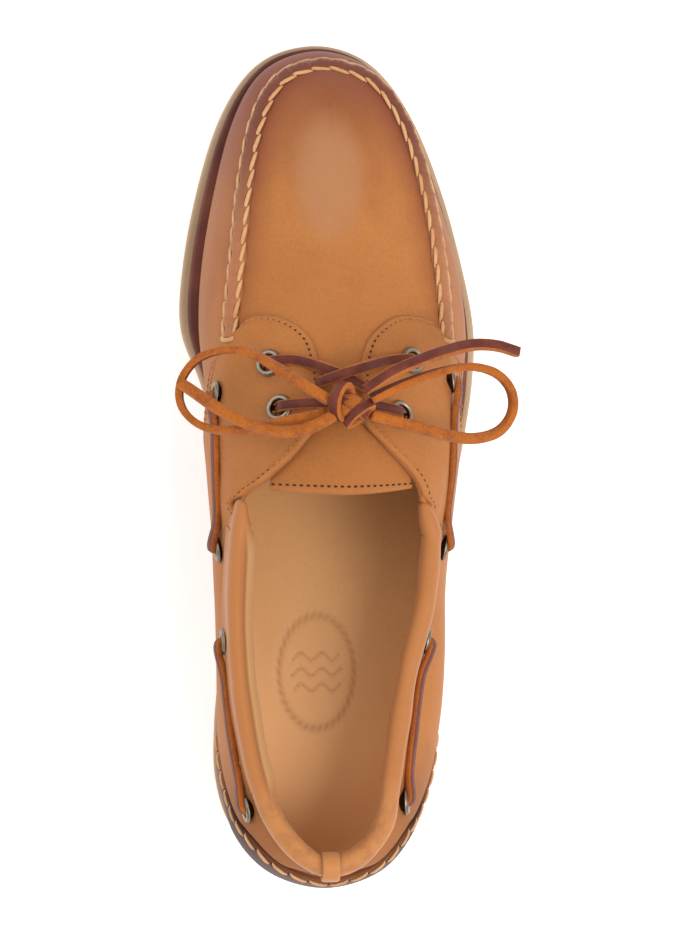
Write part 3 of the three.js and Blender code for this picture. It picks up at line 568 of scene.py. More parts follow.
def burnish(shader, colour, heel_strength):
    """Darker toe and lower heel, worked in by hand."""
    y = shader.axis("Y")
    z = shader.axis("Z")
    cloud = shader.noise(26.0, 3.0, 0.6)
    toe = (y + cloud * 0.03 - 0.015).between(0.078, 0.142)
    outside = 1 - (z + cloud * 0.01).between(0.044, 0.056)
    side = outside * y.between(-0.01, 0.06) * 0.3
    colour = shader.mix((toe * 0.78 + side).clamped(), colour, chosen("burnish"))
    heel = 1 - (y + cloud * 0.012).between(-0.118, -0.084)
    low = 1 - (z + cloud * 0.012).between(0.056, 0.08)
    return shader.mix((heel * (low * 0.6 + 0.4) * heel_strength).clamped(), colour, HEEL_BURNISH)


def seam_burnish_and_painted_highlight(shader, colour):
    """Reddish brown worked into the leather on both sides of the plug's seam, and a painted pinkish highlight
    on the middle of the plug.
    """
    cloud = shader.noise(70.0, 3.0, 0.6)
    x, y = shader.axis("X") + 0.005, shader.axis("Y") - 0.096
    # Painted highlight: a pale pinkish spot where the light shines on the middle of the plug
    painted_highlight = 1 - (x * x * 2.6 + y * y * 0.8 + cloud * 0.0002).between(0.0001, 0.0007)
    colour = shader.mix((painted_highlight * 0.75).clamped(), colour, NUBUCK_PAINTED_HIGHLIGHT)
    near = 1 - (shader.attribute("seam_mm") + cloud * 6.0 - 3.0).between(0.0, 14.0)
    front = shader.axis("Y").between(0.02, 0.125) * 0.75 + 0.22
    return shader.mix((near * front).clamped(), colour, SEAM_BURNISH)


def needle_holes(shader, edge, distance):
    """Short needle holes, painted dark as the shade inside them, in a row at one distance from an edge.
    Attributes are in millimetres.
    """
    away = shader.attribute(edge) - distance
    run = shader.attribute("run_mm") / NEEDLE_PITCH
    phase = (run.maths("FRACT") - 0.5) * NEEDLE_PITCH
    reach = (away * away + phase * phase * 0.45).maths("SQRT")
    return 1 - reach.between(NEEDLE_RADIUS * 0.7, NEEDLE_RADIUS * 1.25)


def build_materials():
    made = {}
    made["nubuck"] = nubuck_material("nubuck", seamed_and_highlit=True)
    seams = [(f"{key}_mm", distance) for key, distance in FACING_SEAMS]
    made["panel"] = nubuck_material("panel_nubuck", True, seams)
    made["wrap"] = nubuck_material("wrap_nubuck", heel_strength=1.0)
    made["tongue"] = nubuck_material("tongue_nubuck", False, [("top_mm", 2.1)])

    shader = Shader("seam_leather", Sheen_Weight=0.15, Specular_IOR_Level=0.3)
    colour, height = leather_grain(shader, linear(166, 106, 66), linear(178, 118, 78), NUBUCK_DARK)
    y = shader.axis("Y")
    dark = (y + shader.noise(30.0) * 0.03).between(0.075, 0.135)
    colour = shader.mix((dark * 0.85 + 0.1).clamped(), colour, linear(104, 50, 34))
    made["seam"] = shader.finish(colour, shader.noise(60.0) * 0.2 + 0.6, height, 0.0003, 0.6)

    shader = Shader("collar_leather", Sheen_Weight=0.15, Specular_IOR_Level=0.35)
    colour, height = leather_grain(shader, COLLAR, linear(186, 124, 68), chosen("nubuck"), 40.0)
    flank, heel = shader.attribute("flank"), shader.attribute("heel")
    inner = shader.attribute("inner")
    colour = shader.mix(flank.clamped(), colour, chosen("nubuck"))
    colour = shader.mix(inner.clamped(), colour, linear(188, 138, 86))
    # Painted shade in the crease of the roll's seam
    colour = shader.mix((shader.attribute("seam") * 0.6).clamped(), colour, HOLE_SHADE)
    cloud = shader.noise(220.0, 3.0, 0.6)
    colour = shader.mix((heel * cloud.between(0.4, 0.7) * 0.3).clamped(), colour, chosen("burnish"))
    wrinkle = shader.noise(60.0, 3.0, 0.6, shader.stretched((1.0, 3.0, 1.0)))
    made["collar"] = shader.finish(colour, wrinkle * 0.2 + 0.5, height * 0.6 + wrinkle * 1.2, 0.0004, 0.5)

    shader = Shader("lining_leather", Specular_IOR_Level=0.35)
    colour, height = leather_grain(shader, LINING, linear(216, 168, 112), linear(192, 138, 84), 30.0)
    made["lining"] = shader.finish(colour, shader.noise(50.0) * 0.15 + 0.55, height, 0.0002, 0.4)

    shader = Shader("insole_leather", Specular_IOR_Level=0.4)
    light, dark = linear(210, 158, 102), linear(184, 130, 76)
    colour, height = leather_grain(shader, chosen("insole"), light, dark, 30.0)
    # Painted light: the rear of the insole is made lighter, where more light falls into the shoe
    rear = 1 - shader.axis("Y").between(-0.115, -0.055)
    colour = shader.mix((rear * 0.8).clamped(), colour, linear(234, 176, 116))
    dent = shader.attribute("dent")
    colour = shader.mix((dent * 0.6).clamped(), colour, linear(158, 104, 58))
    made["insole"] = shader.finish(colour, shader.noise(50.0) * 0.12 + 0.5, height, 0.0002, 0.35)

    shader = Shader("thread", Specular_IOR_Level=0.4, Sheen_Weight=0.2)
    strand = shader.noise(700.0, 2.0, 0.5)
    tint = shader.noise(90.0, 2.0, 0.5)
    colour = shader.mix(tint.between(0.4, 0.7), chosen("thread"), linear(190, 136, 84))
    colour = shader.mix(strand.between(0.5, 0.8) * 0.45, colour, linear(150, 96, 54))
    made["thread"] = shader.finish(colour, strand * 0.2 + 0.6, strand, 0.0002, 0.6)

    shader = Shader("tan_thread", Specular_IOR_Level=0.4)
    strand = shader.noise(700.0, 2.0, 0.5)
    colour = shader.mix(strand.between(0.4, 0.8), linear(172, 108, 58), linear(134, 76, 36))
    made["tan_thread"] = shader.finish(colour, strand * 0.2 + 0.6, strand, 0.0002, 0.6)

    shader = Shader("rawhide_grain", Specular_IOR_Level=0.25)
    patch = shader.noise(120.0, 4.0, 0.6)
    fine = shader.noise(1400.0, 3.0, 0.6)
    colour = shader.mix(patch.between(0.35, 0.7), chosen("lace_grain"), linear(108, 50, 34))
    colour = shader.mix(fine.between(0.5, 0.85) * 0.4, colour, linear(64, 28, 22))
    made["grain"] = shader.finish(colour, patch * 0.2 + 0.42, fine + patch, 0.0003, 0.6)

    shader = Shader("rawhide_edge", Sheen_Weight=0.08, Specular_IOR_Level=0.2)
    patch = shader.noise(160.0, 4.0, 0.6)
    fine = shader.noise(1200.0, 3.0, 0.7)
    colour = shader.mix(patch.between(0.4, 0.7), chosen("lace_suede"), linear(138, 70, 28))
    colour = shader.mix(fine.between(0.4, 0.8) * 0.5, colour, linear(196, 122, 52))
    made["suede"] = shader.finish(colour, fine * 0.15 + 0.8, fine, 0.0004, 0.8)

    shader = Shader("rubber_sole", Specular_IOR_Level=0.35)
    speck = shader.noise(600.0, 3.0, 0.6)
    tone = shader.noise(20.0, 2.0, 0.5)
    colour = shader.mix(tone.between(0.35, 0.7), chosen("rubber"), linear(186, 158, 128))
    colour = shader.mix(speck.between(0.5, 0.85) * 0.3, colour, linear(140, 110, 84))
    made["rubber"] = shader.finish(colour, tone * 0.2 + 0.62, speck, 0.0002, 0.4)

    # Dark leather, partly painted shade of the groove above the outsole
    shader = Shader("midsole_leather", Specular_IOR_Level=0.45)
    layer = shader.noise(300.0, 3.0, 0.6, shader.stretched((0.2, 0.2, 3.0)))
    tone = shader.noise(40.0, 3.0, 0.5)
    colour = shader.mix(tone.between(0.35, 0.7), chosen("midsole"), linear(120, 58, 34))
    colour = shader.mix(layer.between(0.5, 0.8) * 0.4, colour, linear(62, 26, 16))
    made["midsole"] = shader.finish(colour, layer * 0.2 + 0.45, layer, 0.0003, 0.5)

    # Painted shade: dark spindles in the holes between hand stitches
    shader = Shader("needle_hole", Specular_IOR_Level=0.1)
    tone = shader.noise(300.0)
    made["hole"] = shader.finish(shader.mix(tone, linear(104, 56, 32), linear(76, 38, 22)), 0.9)

    shader = Shader("eyelet_metal", Metallic=1.0)
    tarnish = shader.noise(450.0, 4.0, 0.6)
    rim = shader.attribute("rim")
    colour = shader.mix(tarnish.between(0.35, 0.7), linear(98, 84, 70), linear(48, 40, 34))
    colour = shader.mix((rim * 0.75).clamped(), colour, linear(176, 164, 146))
    made["metal"] = shader.finish(colour, tarnish * 0.25 + 0.28, tarnish, 0.0001, 0.4)
    return made


materials = {}


# Meshes
def new_object(name, points, faces, finishes, slot, indices, attributes=None, replaces=(), weld=0.0):
    """A mesh object in metres from points in millimetres. It rides on the one body."""
    mesh = bpy.data.meshes.new(name)
    mesh.from_pydata((np.asarray(points, float) * MM).tolist(), [], [list(map(int, face)) for face in faces])
    for key, values in (attributes or {}).items():
        layer = mesh.attributes.new(key, "FLOAT", "POINT")
        layer.data.foreach_set("value", np.asarray(values, np.float32))
    for finish in finishes:
        mesh.materials.append(materials[finish])
    mesh.polygons.foreach_set("material_index", np.asarray(indices, np.int32))
    mesh.polygons.foreach_set("use_smooth", np.full(len(mesh.polygons), True))
    if weld:
        work = bmesh.new()
        work.from_mesh(mesh)
        bmesh.ops.remove_doubles(work, verts=work.verts, dist=weld * MM)
        bmesh.ops.recalc_face_normals(work, faces=work.faces)
        work.to_mesh(mesh)
        work.free()
    mesh.update()
    made = bpy.data.objects.new(name, mesh)
    bpy.context.scene.collection.objects.link(made)
    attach(made, "root")
    if replaces:
        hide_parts(*replaces)
    return made


def grid_faces(rows, columns, start=0, closed=False, flip=False):
    """Quads of a grid of points. closed joins its last column to its first."""
    across = np.arange(columns if closed else columns - 1)
    first, second = np.meshgrid(np.arange(rows - 1), across, indexing="ij")
    right = (second + 1) % columns
    ring = [first * columns + second, first * columns + right, (first + 1) * columns + right,
            (first + 1) * columns + second]
    faces = np.stack([part.ravel() for part in (ring[::-1] if flip else ring)], -1)
    return faces + start


class Builder:
    """Collects grids and strips into one mesh."""

    def __init__(self):
        self.points, self.faces, self.indices, self.count = [], [], [], 0

    def grid(self, points, index=0, closed=False, flip=False, sides=None):
        """Quads over a grid of points in one finish, or with the finish of each column in sides."""
        rows, columns = points.shape[:2]
        faces = grid_faces(rows, columns, self.count, closed, flip).tolist()
        self.faces.extend(faces)
        self.indices.extend([sides[place % columns] if sides else index for place in range(len(faces))])
        self.points.append(points.reshape(-1, 3))
        start = self.count
        self.count += rows * columns
        return start

    def tube(self, rings, index=0, closed=True, sides=None):
        """A tube through rings of points, with a face over each end."""
        rows, columns = rings.shape[:2]
        start = self.grid(rings, index, closed, sides=sides)
        last = start + (rows - 1) * columns
        self.faces.append(list(range(start, start + columns)))
        self.faces.append(list(range(last, last + columns))[::-1])
        self.indices.extend([index, index])

    def slab(self, face, back, flip=False):
        """A face and a back, with strips between their edges."""
        self.grid(face, flip=flip)
        self.grid(back, flip=not flip)
        self.grid(np.stack([face[:, 0], back[:, 0]], 1), flip=not flip)
        self.grid(np.stack([face[:, -1], back[:, -1]], 1), flip=flip)
        self.grid(np.stack([face[0], back[0]], 1), flip=flip)
        self.grid(np.stack([face[-1], back[-1]], 1), flip=not flip)

    def make(self, name, finishes, slot, **options):
        points = np.concatenate(self.points)
        return new_object(name, points, self.faces, finishes, slot, self.indices, **options)


def run_length(points):
    steps = np.linalg.norm(np.diff(points, axis=0), axis=-1)
    return np.concatenate([[0], np.cumsum(steps)])


def resampled(points, spacing):
    """Points at even spacing along a line."""
    length = run_length(points)
    count = max(2, int(round(length[-1] / spacing)) + 1)
    at = np.linspace(0, length[-1], count)
    return np.stack([np.interp(at, length, points[:, axis]) for axis in range(points.shape[1])], -1)


def curve_through(points, count):
    points = np.asarray(points, float)
    return catmull(padded_line(points), np.linspace(0, len(points) - 1, count))


def unit(vectors):
    return vectors / np.maximum(np.linalg.norm(vectors, axis=-1, keepdims=True), 1e-9)


def line_frames(line, outward):
    """Directions across and above a line, from a rough outward direction at each point."""
    along = unit(np.gradient(line, axis=0))
    up = unit(outward - along * np.sum(outward * along, -1, keepdims=True))
    return along, np.cross(along, up), up


# The stage
class BoatShoeStage(bpy.types.PropertyGroup):
    key_power: bpy.props.FloatProperty(
        name="Key light", description="Power of the large light on the right",
        default=8.5, min=0, unit="POWER")
    fill_power: bpy.props.FloatProperty(
        name="Fill light", description="Power of the light on the left", default=3.0, min=0, unit="POWER")
    sky: bpy.props.FloatProperty(
        name="Sky", description="Strength of the even light around", default=0.88, min=0)
    floor_colour: colour_property("Floor", "Colour of the floor", (0.93, 0.93, 0.93))


class BoatShoeColours(bpy.types.PropertyGroup):
    nubuck: colour_property("Nubuck", "Leather of the upper and the facings", NUBUCK)
    burnish: colour_property("Burnish", "Darker leather at the toe", BURNISH)
    insole: colour_property("Insole", "Leather of the insole", INSOLE_COLOUR)
    thread: colour_property("Thread", "Thick thread of the hand stitches", THREAD)
    lace_grain: colour_property("Lace, smooth side", "Grain side of the rawhide laces", GRAIN)
    lace_suede: colour_property("Lace, rough side", "Suede side and edges of the rawhide laces", SUEDE)
    # The midsole colour is dark leather, partly painted shade of its groove
    midsole: colour_property("Midsole", "Dark leather above the outsole", MIDSOLE_AND_SHADE)
    rubber: colour_property("Rubber", "Rubber of the outsole", RUBBER)


class BoatShoeSizes(bpy.types.PropertyGroup):
    stitch_pitch: bpy.props.FloatProperty(
        name="Hand stitch pitch", description="Length of one stitch of the plug seam",
        default=6.4 * MM, unit="LENGTH", min=0.003, max=0.02)
    needle_pitch: bpy.props.FloatProperty(
        name="Machine stitch pitch", description="Length of one machine stitch",
        default=NEEDLE_PITCH * MM, unit="LENGTH", min=0.001, max=0.01)
    ridge_height: bpy.props.FloatProperty(
        name="Ridge height", description="Height of the gathered ridge of the plug",
        default=2.0 * MM, unit="LENGTH", min=0.0005, max=0.005)


# The camera fits the photo. Its place and aim are in metres
CAMERA_PLACE = Vector((-0.1083, -0.0019, 1.0286))
CAMERA_AIM = Vector((0.0049, -0.0019, 0.035))
CAMERA_FOCAL_PIXELS = 2870
PHOTO_HEIGHT_PIXELS = 933
SENSOR_MM = 36
FLOOR_HALF = 3.0
FLOOR_DROP = 0.0002


class SHOE_OT_stage(bpy.types.Operator):
    """Build the floor, the lights and the camera"""
    bl_idname = "boat_shoe.stage"
    bl_label = "Stage"

    def execute(self, context):
        settings = context.scene.boat_shoe_stage
        camera = bpy.data.objects.new("camera", bpy.data.cameras.new("camera"))
        context.scene.collection.objects.link(camera)
        back = (CAMERA_PLACE - CAMERA_AIM).normalized()
        right = Vector((0, 1, 0)).cross(back).normalized()
        up = back.cross(right)
        turned = Matrix((right, up, back)).transposed().to_4x4()
        camera.matrix_world = Matrix.Translation(CAMERA_PLACE) @ turned
        camera.data.sensor_fit = "VERTICAL"
        camera.data.sensor_height = SENSOR_MM
        camera.data.lens = CAMERA_FOCAL_PIXELS / PHOTO_HEIGHT_PIXELS * SENSOR_MM
        camera.data.clip_end = 20
        context.scene.camera = camera
        context.scene.view_settings.view_transform = "Standard"
        self.add_light("key", (0.5, -0.3, 1.05), 0.6, settings.key_power, (1.0, 0.97, 0.93))
        self.add_light("fill", (-0.8, 0.3, 0.7), 0.8, settings.fill_power, (0.95, 0.97, 1.0))
        world = bpy.data.worlds.new("studio")
        context.scene.world = world
        world.use_nodes = True
        world.node_tree.nodes["Background"].inputs["Color"].default_value = (1, 1, 1, 1)
        world.node_tree.nodes["Background"].inputs["Strength"].default_value = settings.sky
        floor = bpy.data.meshes.new("floor")
        corners = [(x * FLOOR_HALF, y * FLOOR_HALF, 0) for x, y in ((-1, -1), (1, -1), (1, 1), (-1, 1))]
        floor.from_pydata(corners, [], [(0, 1, 2, 3)])
        shader = Shader("floor_paper", Specular_IOR_Level=0.1, Emission_Color=(1, 1, 1, 1),
                        Emission_Strength=0.3)
        tone = shader.noise(3.0, 1.0, 0.5)
        low = tuple(0.985 * value for value in settings.floor_colour)
        floor.materials.append(shader.finish(shader.mix(tone, tuple(settings.floor_colour), low), 0.9))
        made = bpy.data.objects.new("floor", floor)
        made.location.z = -FLOOR_DROP
        context.scene.collection.objects.link(made)
        return {"FINISHED"}

    def add_light(self, name, place, size, power, colour):
        lamp = bpy.data.lights.new(name, "AREA")
        lamp.size, lamp.energy, lamp.color = size, power, colour
        made = bpy.data.objects.new(name, lamp)
        made.location = place
        made.rotation_euler = (-Vector(place)).to_track_quat("-Z", "Y").to_euler()
        bpy.context.scene.collection.objects.link(made)


# Laces
LACE_CORNER = 0.28
LACE_WOBBLE = 0.12


def lace_section(width=LACE_WIDTH, thickness=LACE_THICKNESS):
    """Section points of a lace, across and above its middle, and the finish of each side of it."""
    half, high, cut = width / 2, thickness / 2, LACE_CORNER
    corners = [
        (-half, -high + cut), (-half + cut, -high), (0, -high - 0.05), (half - cut, -high),
        (half, -high + cut), (half + 0.04, 0), (half, high - cut), (half - cut, high),
        (0, high + 0.06), (-half + cut, high), (-half, high - cut), (-half - 0.04, 0),
    ]
    grain_sides = {7, 8}
    return np.array(corners), [1 if side in grain_sides else 0 for side in range(len(corners))]


def lace(name, line, outward, replaces, turn=None, thickness=LACE_THICKNESS, seed=1):
    """A flat rawhide lace along a line in millimetres. turn is its twist in degrees at each point."""
    section, sides = lace_section(LACE_WIDTH, thickness)
    _, across, up = line_frames(line, outward)
    if turn is not None:
        angle = np.radians(turn)[:, None]
        across, up = across * np.cos(angle) + up * np.sin(angle), up * np.cos(angle) - across * np.sin(angle)
    random = np.random.default_rng(seed)
    waves = np.cumsum(random.normal(0, 0.25, (len(line), 2)), 0)
    waves -= np.linspace(waves[0], waves[-1], len(line))
    sizes = 1 + LACE_WOBBLE * np.tanh(waves * 0.5)
    rings = (line[:, None] + across[:, None] * (section[None, :, :1] * sizes[:, None, :1])
             + up[:, None] * (section[None, :, 1:] * sizes[:, None, 1:]))
    build = Builder()
    build.tube(rings, sides=sides)
    return build.make(name, ["suede", "grain"], "rawhide", replaces=replaces, weld=0.0005)


# Points of each lace of the bow in millimetres, from the knot outwards
BOW_ROUTES = {
    "loop_medial": [
        (-8.6, 19.5, 95.6), (-15, 23.5, 95.1), (-24, 29.5, 91.1), (-34, 35.5, 85.6), (-43, 36.5, 80.6),
        (-51, 33.5, 76.1), (-56, 26.5, 73.6), (-56, 18.5, 73.1), (-51, 12.5, 75.1), (-43, 10, 79.1),
        (-33, 10.5, 85.1), (-22, 13, 90.6), (-9.5, 15.6, 93.1),
    ],
    "loop_lateral": [
        (5, 20.2, 95.4), (12, 23.5, 94.6), (21, 27, 90.6), (31, 30, 84.6), (41, 31.5, 78.1),
        (50, 29.5, 73.1), (55.5, 24, 70.6), (56, 16.5, 70.6), (51, 10, 73.1), (42, 7.5, 78.1),
        (32, 8.5, 83.6), (20, 11.5, 89.1), (5.4, 15, 92.6),
    ],
    "end_medial": [
        (-7.3, 14.7, 97), (-16, 10.5, 97.1), (-26, 9.5, 93.6), (-36, 12.5, 89.6), (-45, 17.5, 85.1),
        (-52, 22.5, 81.3), (-57, 26, 79.3),
    ],
    "end_lateral": [
        (2.7, 23, 97.9), (11, 28.5, 98.7), (20, 32.5, 95.6), (30, 36, 90.1), (40, 38.5, 84.6),
        (49, 38.5, 80.1), (57, 36.5, 77.1),
    ],
}
# Twist of each lace of the bow at its start, its middle and its end, in degrees
BOW_TURNS = {
    "loop_medial": (165, 75, 195),
    "loop_lateral": (60, 110, 195),
    "end_medial": (150, 150, 170),
    "end_lateral": (15, 25, 10),
}
KNOT_CENTRE = np.array([-1.5, 18.0, 95.1])
KNOT_CORE_PLACE = (-0.6, -0.4, -0.6)
KNOT_CORE_SIZE = (5.4, 4.4, 3.4)
KNOT_LACE_SCALE = (1.1, 0.8)
# Turns of the knot: place from its centre, half sizes along and up, heading, lean, share of the lace's width
KNOT_TURNS = [
    ((-3.0, 1.4, 0.2), (5.6, 4.4), 12, -38, 1.0),
    ((2.6, -2.6, -0.8), (5.0, 3.4), 52, -30, 0.9),
    ((-0.6, -0.4, -1.6), (5.6, 3.2), -60, 20, 0.9),
]
BOW_STEP = 1.2


class SHOE_OT_bow(bpy.types.Operator):
    """Build the knot, the two loops and the two loose ends"""
    bl_idname = "boat_shoe.bow"
    bl_label = "Bow"

    def execute(self, context):
        knot = self.knot()
        for place, (name, route) in enumerate(BOW_ROUTES.items()):
            line = resampled(curve_through(route, 200), BOW_STEP)
            turn = curve_through([(value, 0, 0) for value in BOW_TURNS[name]], len(line))[:, 0]
            outward = np.tile((0.0, 0.0, 1.0), (len(line), 1))
            made = lace(name + "_lace", line, outward, (name,), turn=turn, seed=place + 3)
        return {"FINISHED"}

    def knot(self):
        """Turns of lace around the middle of the bow."""
        build = Builder()
        for centre, (wide, high), heading, lean, scale in KNOT_TURNS:
            self.add_turn(build, KNOT_CENTRE + centre, wide, high, heading, lean, scale)
        self.add_core(build)
        return build.make("knot_turns", ["suede", "grain"], "rawhide", replaces=("lace_knot",), weld=0.0005)

    def add_core(self, build):
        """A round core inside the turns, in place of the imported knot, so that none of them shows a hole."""
        over = np.linspace(0.05, math.pi - 0.05, 14)
        around = np.linspace(0, 2 * math.pi, 24, endpoint=False)
        ball = np.stack([np.sin(over)[:, None] * np.cos(around), np.sin(over)[:, None] * np.sin(around),
                         np.cos(over)[:, None] + 0 * around], -1)
        build.tube(KNOT_CENTRE + np.array(KNOT_CORE_PLACE) + ball * KNOT_CORE_SIZE)

    def add_turn(self, build, centre, wide, high, heading, lean, scale):
        wider, thinner = KNOT_LACE_SCALE
        section, sides = lace_section(LACE_WIDTH * scale * wider, LACE_THICKNESS * thinner)
        angle = np.linspace(0, 2 * math.pi, 48, endpoint=False)
        heading, lean = math.radians(heading), math.radians(lean)
        direction = np.array([math.sin(heading), math.cos(heading), 0])
        upward = unit(np.array([math.sin(lean), 0, math.cos(lean)]))
        upward = unit(upward - direction * upward.dot(direction))
        along, rise = (wide * np.cos(angle))[:, None], (high * np.sin(angle))[:, None]
        line = centre + direction * along + upward * rise
        out = unit(line - centre)
        side = np.cross(direction, upward)
        rings = line[:, None] + side * section[None, :, :1] + out[:, None] * section[None, :, 1:]
        build.grid(np.concatenate([rings, rings[:1]]), closed=True, sides=sides)


# The sole
ROW_FINENESS = 14


def fine_rows(start=0.0, end=LAST_ROW, per_row=ROW_FINENESS):
    return np.linspace(start, end, int(round((end - start) * per_row)) + 1)


def sole_ring(rows, side, inset, height):
    plan = outline_point(SOLE_ROWS, side, rows, inset)
    return np.concatenate([plan, height(plan[:, 1])[:, None]], -1)


def sole_solid(build, levels, index=0):
    """Stacked plan rings closed below and above by rungs across the shoe."""
    rows = fine_rows()
    sides = {}
    for side in (MEDIAL, LATERAL):
        rings = np.stack([sole_ring(rows, side, inset(side, rows), height) for inset, height in levels], 1)
        sides[side] = rings
        build.grid(rings, index, flip=side < 0)
    for level in (0, -1):
        rungs = np.stack([sides[MEDIAL][:, level], sides[LATERAL][:, level]], 1)
        share = np.linspace(0, 1, 9)[None, :, None]
        cap = rungs[:, :1] * (1 - share) + rungs[:, 1:] * share
        build.grid(cap, index, flip=level == 0)


def fixed(value):
    return lambda side, rows: np.full(len(rows), value)


def over(function, extra):
    return lambda y: function(y) + extra


class SHOE_OT_sole(bpy.types.Operator):
    """Build the rubber outsole and the leather midsole"""
    bl_idname = "boat_shoe.sole"
    bl_label = "Sole"

    def execute(self, context):
        build = Builder()
        sole_solid(build, [
            (fixed(3.2), sole_bottom),
            (fixed(2.2), over(sole_bottom, 0.5)),
            (fixed(LIP_REACH + 0.7), over(sole_bottom, 1.5)),
            (fixed(LIP_REACH + 0.45), over(sole_bottom, 2.6)),
            (fixed(LIP_REACH), over(outsole_top, -LIP_HEIGHT - 0.9)),
            (fixed(LIP_REACH + 0.5), over(outsole_top, -LIP_HEIGHT - 0.6)),
            (fixed(LIP_REACH + 0.5), over(outsole_top, -LIP_HEIGHT - 0.3)),
            (fixed(0.2), over(outsole_top, -LIP_HEIGHT)),
            (fixed(0.0), over(outsole_top, -LIP_HEIGHT + 0.5)),
            (fixed(0.0), over(outsole_top, -1.0)),
            (fixed(0.25), over(outsole_top, -0.4)),
            (fixed(0.8), over(outsole_top, -0.05)),
            (fixed(1.6), outsole_top),
        ])
        build.make("outsole_rubber", ["rubber"], "rubber", replaces=("outsole",), weld=0.001)

        def inset(extra):
            return lambda side, rows: 0.42 * flange_at(side, rows) + extra
        build = Builder()
        sole_solid(build, [
            (inset(0.5), midsole_bottom),
            (inset(0.0), over(midsole_bottom, 0.4)),
            (inset(-0.1), over(midsole_bottom, 1.2)),
            (inset(0.15), over(midsole_bottom, 1.5)),
            (inset(-0.1), over(midsole_bottom, 1.8)),
            (inset(0.0), over(midsole_top, -0.5)),
            (inset(0.5), over(midsole_top, -0.05)),
            (inset(1.2), midsole_top),
        ])
        build.make("midsole_leather", ["midsole"], "dark_leather", replaces=("midsole",), weld=0.001)
        return {"FINISHED"}


# The pressed mark of the insole. Its rope is a share of the oval, and its waves are in millimetres
MARK_CENTRE = (-6.0, -74.0)
MARK_HALF = (13.5, 20.0)
ROPE_WIDTH = 0.075
ROPE_STRANDS = 34
ROPE_SLANT = 26
WAVE_PLACES = (-5.5, 0.0, 5.5)
WAVE_HEIGHT = 1.3
WAVE_TURN = 0.85
WAVE_WIDTH = 0.55
WAVE_REACH = 0.72


def rope_ring_mark(x, y):
    """Depth from 0 to 1 of the plain pressed mark: an oval rope ring around three waves."""
    (centre_x, centre_y), (half_x, half_y) = MARK_CENTRE, MARK_HALF
    across, along = (x - centre_x) / half_x, (y - centre_y) / half_y
    radius = np.sqrt(across ** 2 + along ** 2)
    angle = np.arctan2(along, across)
    strand = 0.5 + 0.5 * np.cos(angle * ROPE_STRANDS + (radius - 1) * ROPE_SLANT)
    ring = np.exp(-((radius - 1) / ROPE_WIDTH) ** 2) * (0.45 + 0.55 * strand)
    wave = np.zeros_like(x)
    for place in WAVE_PLACES:
        crest = centre_y + place + WAVE_HEIGHT * np.sin((x - centre_x) * WAVE_TURN)
        wave = np.maximum(wave, np.exp(-((y - crest) / WAVE_WIDTH) ** 2))
    wave *= np.clip((WAVE_REACH - radius) / 0.06, 0, 1)
    return np.clip(ring + wave, 0, 1)


# The insole's gap to the wall, the rise of its rim at the heel, and the round and depth of its edge
INSOLE_GAP = 0.9
INSOLE_CUP = 1.2
INSOLE_CUP_REACH = 5.0
INSOLE_ROUND = 0.5
INSOLE_ROUND_DEPTH = 0.9
MARK_DEPTH = 0.35
# Places where the foot has pressed the insole: centre across and along, reach and depth
INSOLE_SAGS = [(-4, -105, 22, 0.5), (-2, 50, 30, 0.4)]


class SHOE_OT_insole(bpy.types.Operator):
    """Build the leather insole with its plain pressed mark"""
    bl_idname = "boat_shoe.insole"
    bl_label = "Insole"

    def execute(self, context):
        rows = fine_rows(per_row=24)
        sides = [outline_point(SOLE_ROWS, side, rows, flange_at(side, rows) + WALL + INSOLE_GAP)
                 for side in (MEDIAL, LATERAL)]
        share = np.linspace(0, 1, 121)
        plan = sides[0][:, None] * (1 - share[None, :, None]) + sides[1][:, None] * share[None, :, None]
        x, y = plan[..., 0], plan[..., 1]
        rim = np.minimum(share, 1 - share)[None, :] * np.linalg.norm(sides[1] - sides[0], axis=-1)[:, None]
        dent = rope_ring_mark(x, y)
        cup = INSOLE_CUP * np.exp(-(rim / INSOLE_CUP_REACH) ** 2) * smooth(-20, -110, y)
        edge = INSOLE_ROUND_DEPTH * np.exp(-(rim / INSOLE_ROUND) ** 2)
        top = insole_top(y) + cup - edge - MARK_DEPTH * dent
        for across, along, reach, depth in INSOLE_SAGS:
            top -= depth * np.exp(-((x - across) / reach) ** 2 - ((y - along) / reach) ** 2)
        build = Builder()
        build.grid(np.stack([x, y, top], -1))
        low = feather_height(y) + 0.2
        build.grid(np.stack([x, y, low], -1)[:, [0, -1]], flip=True)
        for column in (0, -1):
            strip = np.stack([np.stack([x, y, low], -1)[:, column], np.stack([x, y, top], -1)[:, column]], 1)
            build.grid(strip, flip=column == 0)
        values = np.concatenate([dent.ravel(), np.zeros(build.count - dent.size)])
        build.make("insole_sock", ["insole"], "insole_leather", replaces=("insole",),
                   attributes={"dent": values})
        return {"FINISHED"}


# The upper. Its throat's edge is in shares along the shoe and of the ball width across it
THROAT_EDGE = {
    MEDIAL: [(0.545, -0.100), (0.522, -0.148), (0.502, -0.196), (0.477, -0.276), (0.467, -0.314),
             (0.459, -0.335), (0.442, -0.345), (0.434, -0.349), (0.426, -0.353)],
    LATERAL: [(0.545, 0.036), (0.522, 0.091), (0.491, 0.178), (0.479, 0.206), (0.468, 0.223),
              (0.459, 0.230), (0.442, 0.244), (0.434, 0.255), (0.426, 0.266)],
}
THROAT_FRONT = 0.545
# A distance in millimetres beyond every seam and edge
FAR = 99.0


def throat_limit(side):
    """Rows and levels of the throat's edge on one side, from the spine to the topline."""
    finder = finders[side]
    front = spine_row(THROAT_FRONT)
    places = [finder.find("plan", along, across) for along, across in THROAT_EDGE[side]]
    rows = [front - 0.02] + [place[0] for place in places] + [float(TOPLINE_START)]
    levels = [2.0] + [place[1] for place in places] + [2.0]
    order = np.argsort(rows)
    return np.array(rows)[order], np.array(levels)[order]


throat_limits = {side: throat_limit(side) for side in (MEDIAL, LATERAL)}


def top_level(side, row):
    rows, levels = throat_limits[side]
    return np.interp(row, rows, levels, left=2.0, right=2.0)


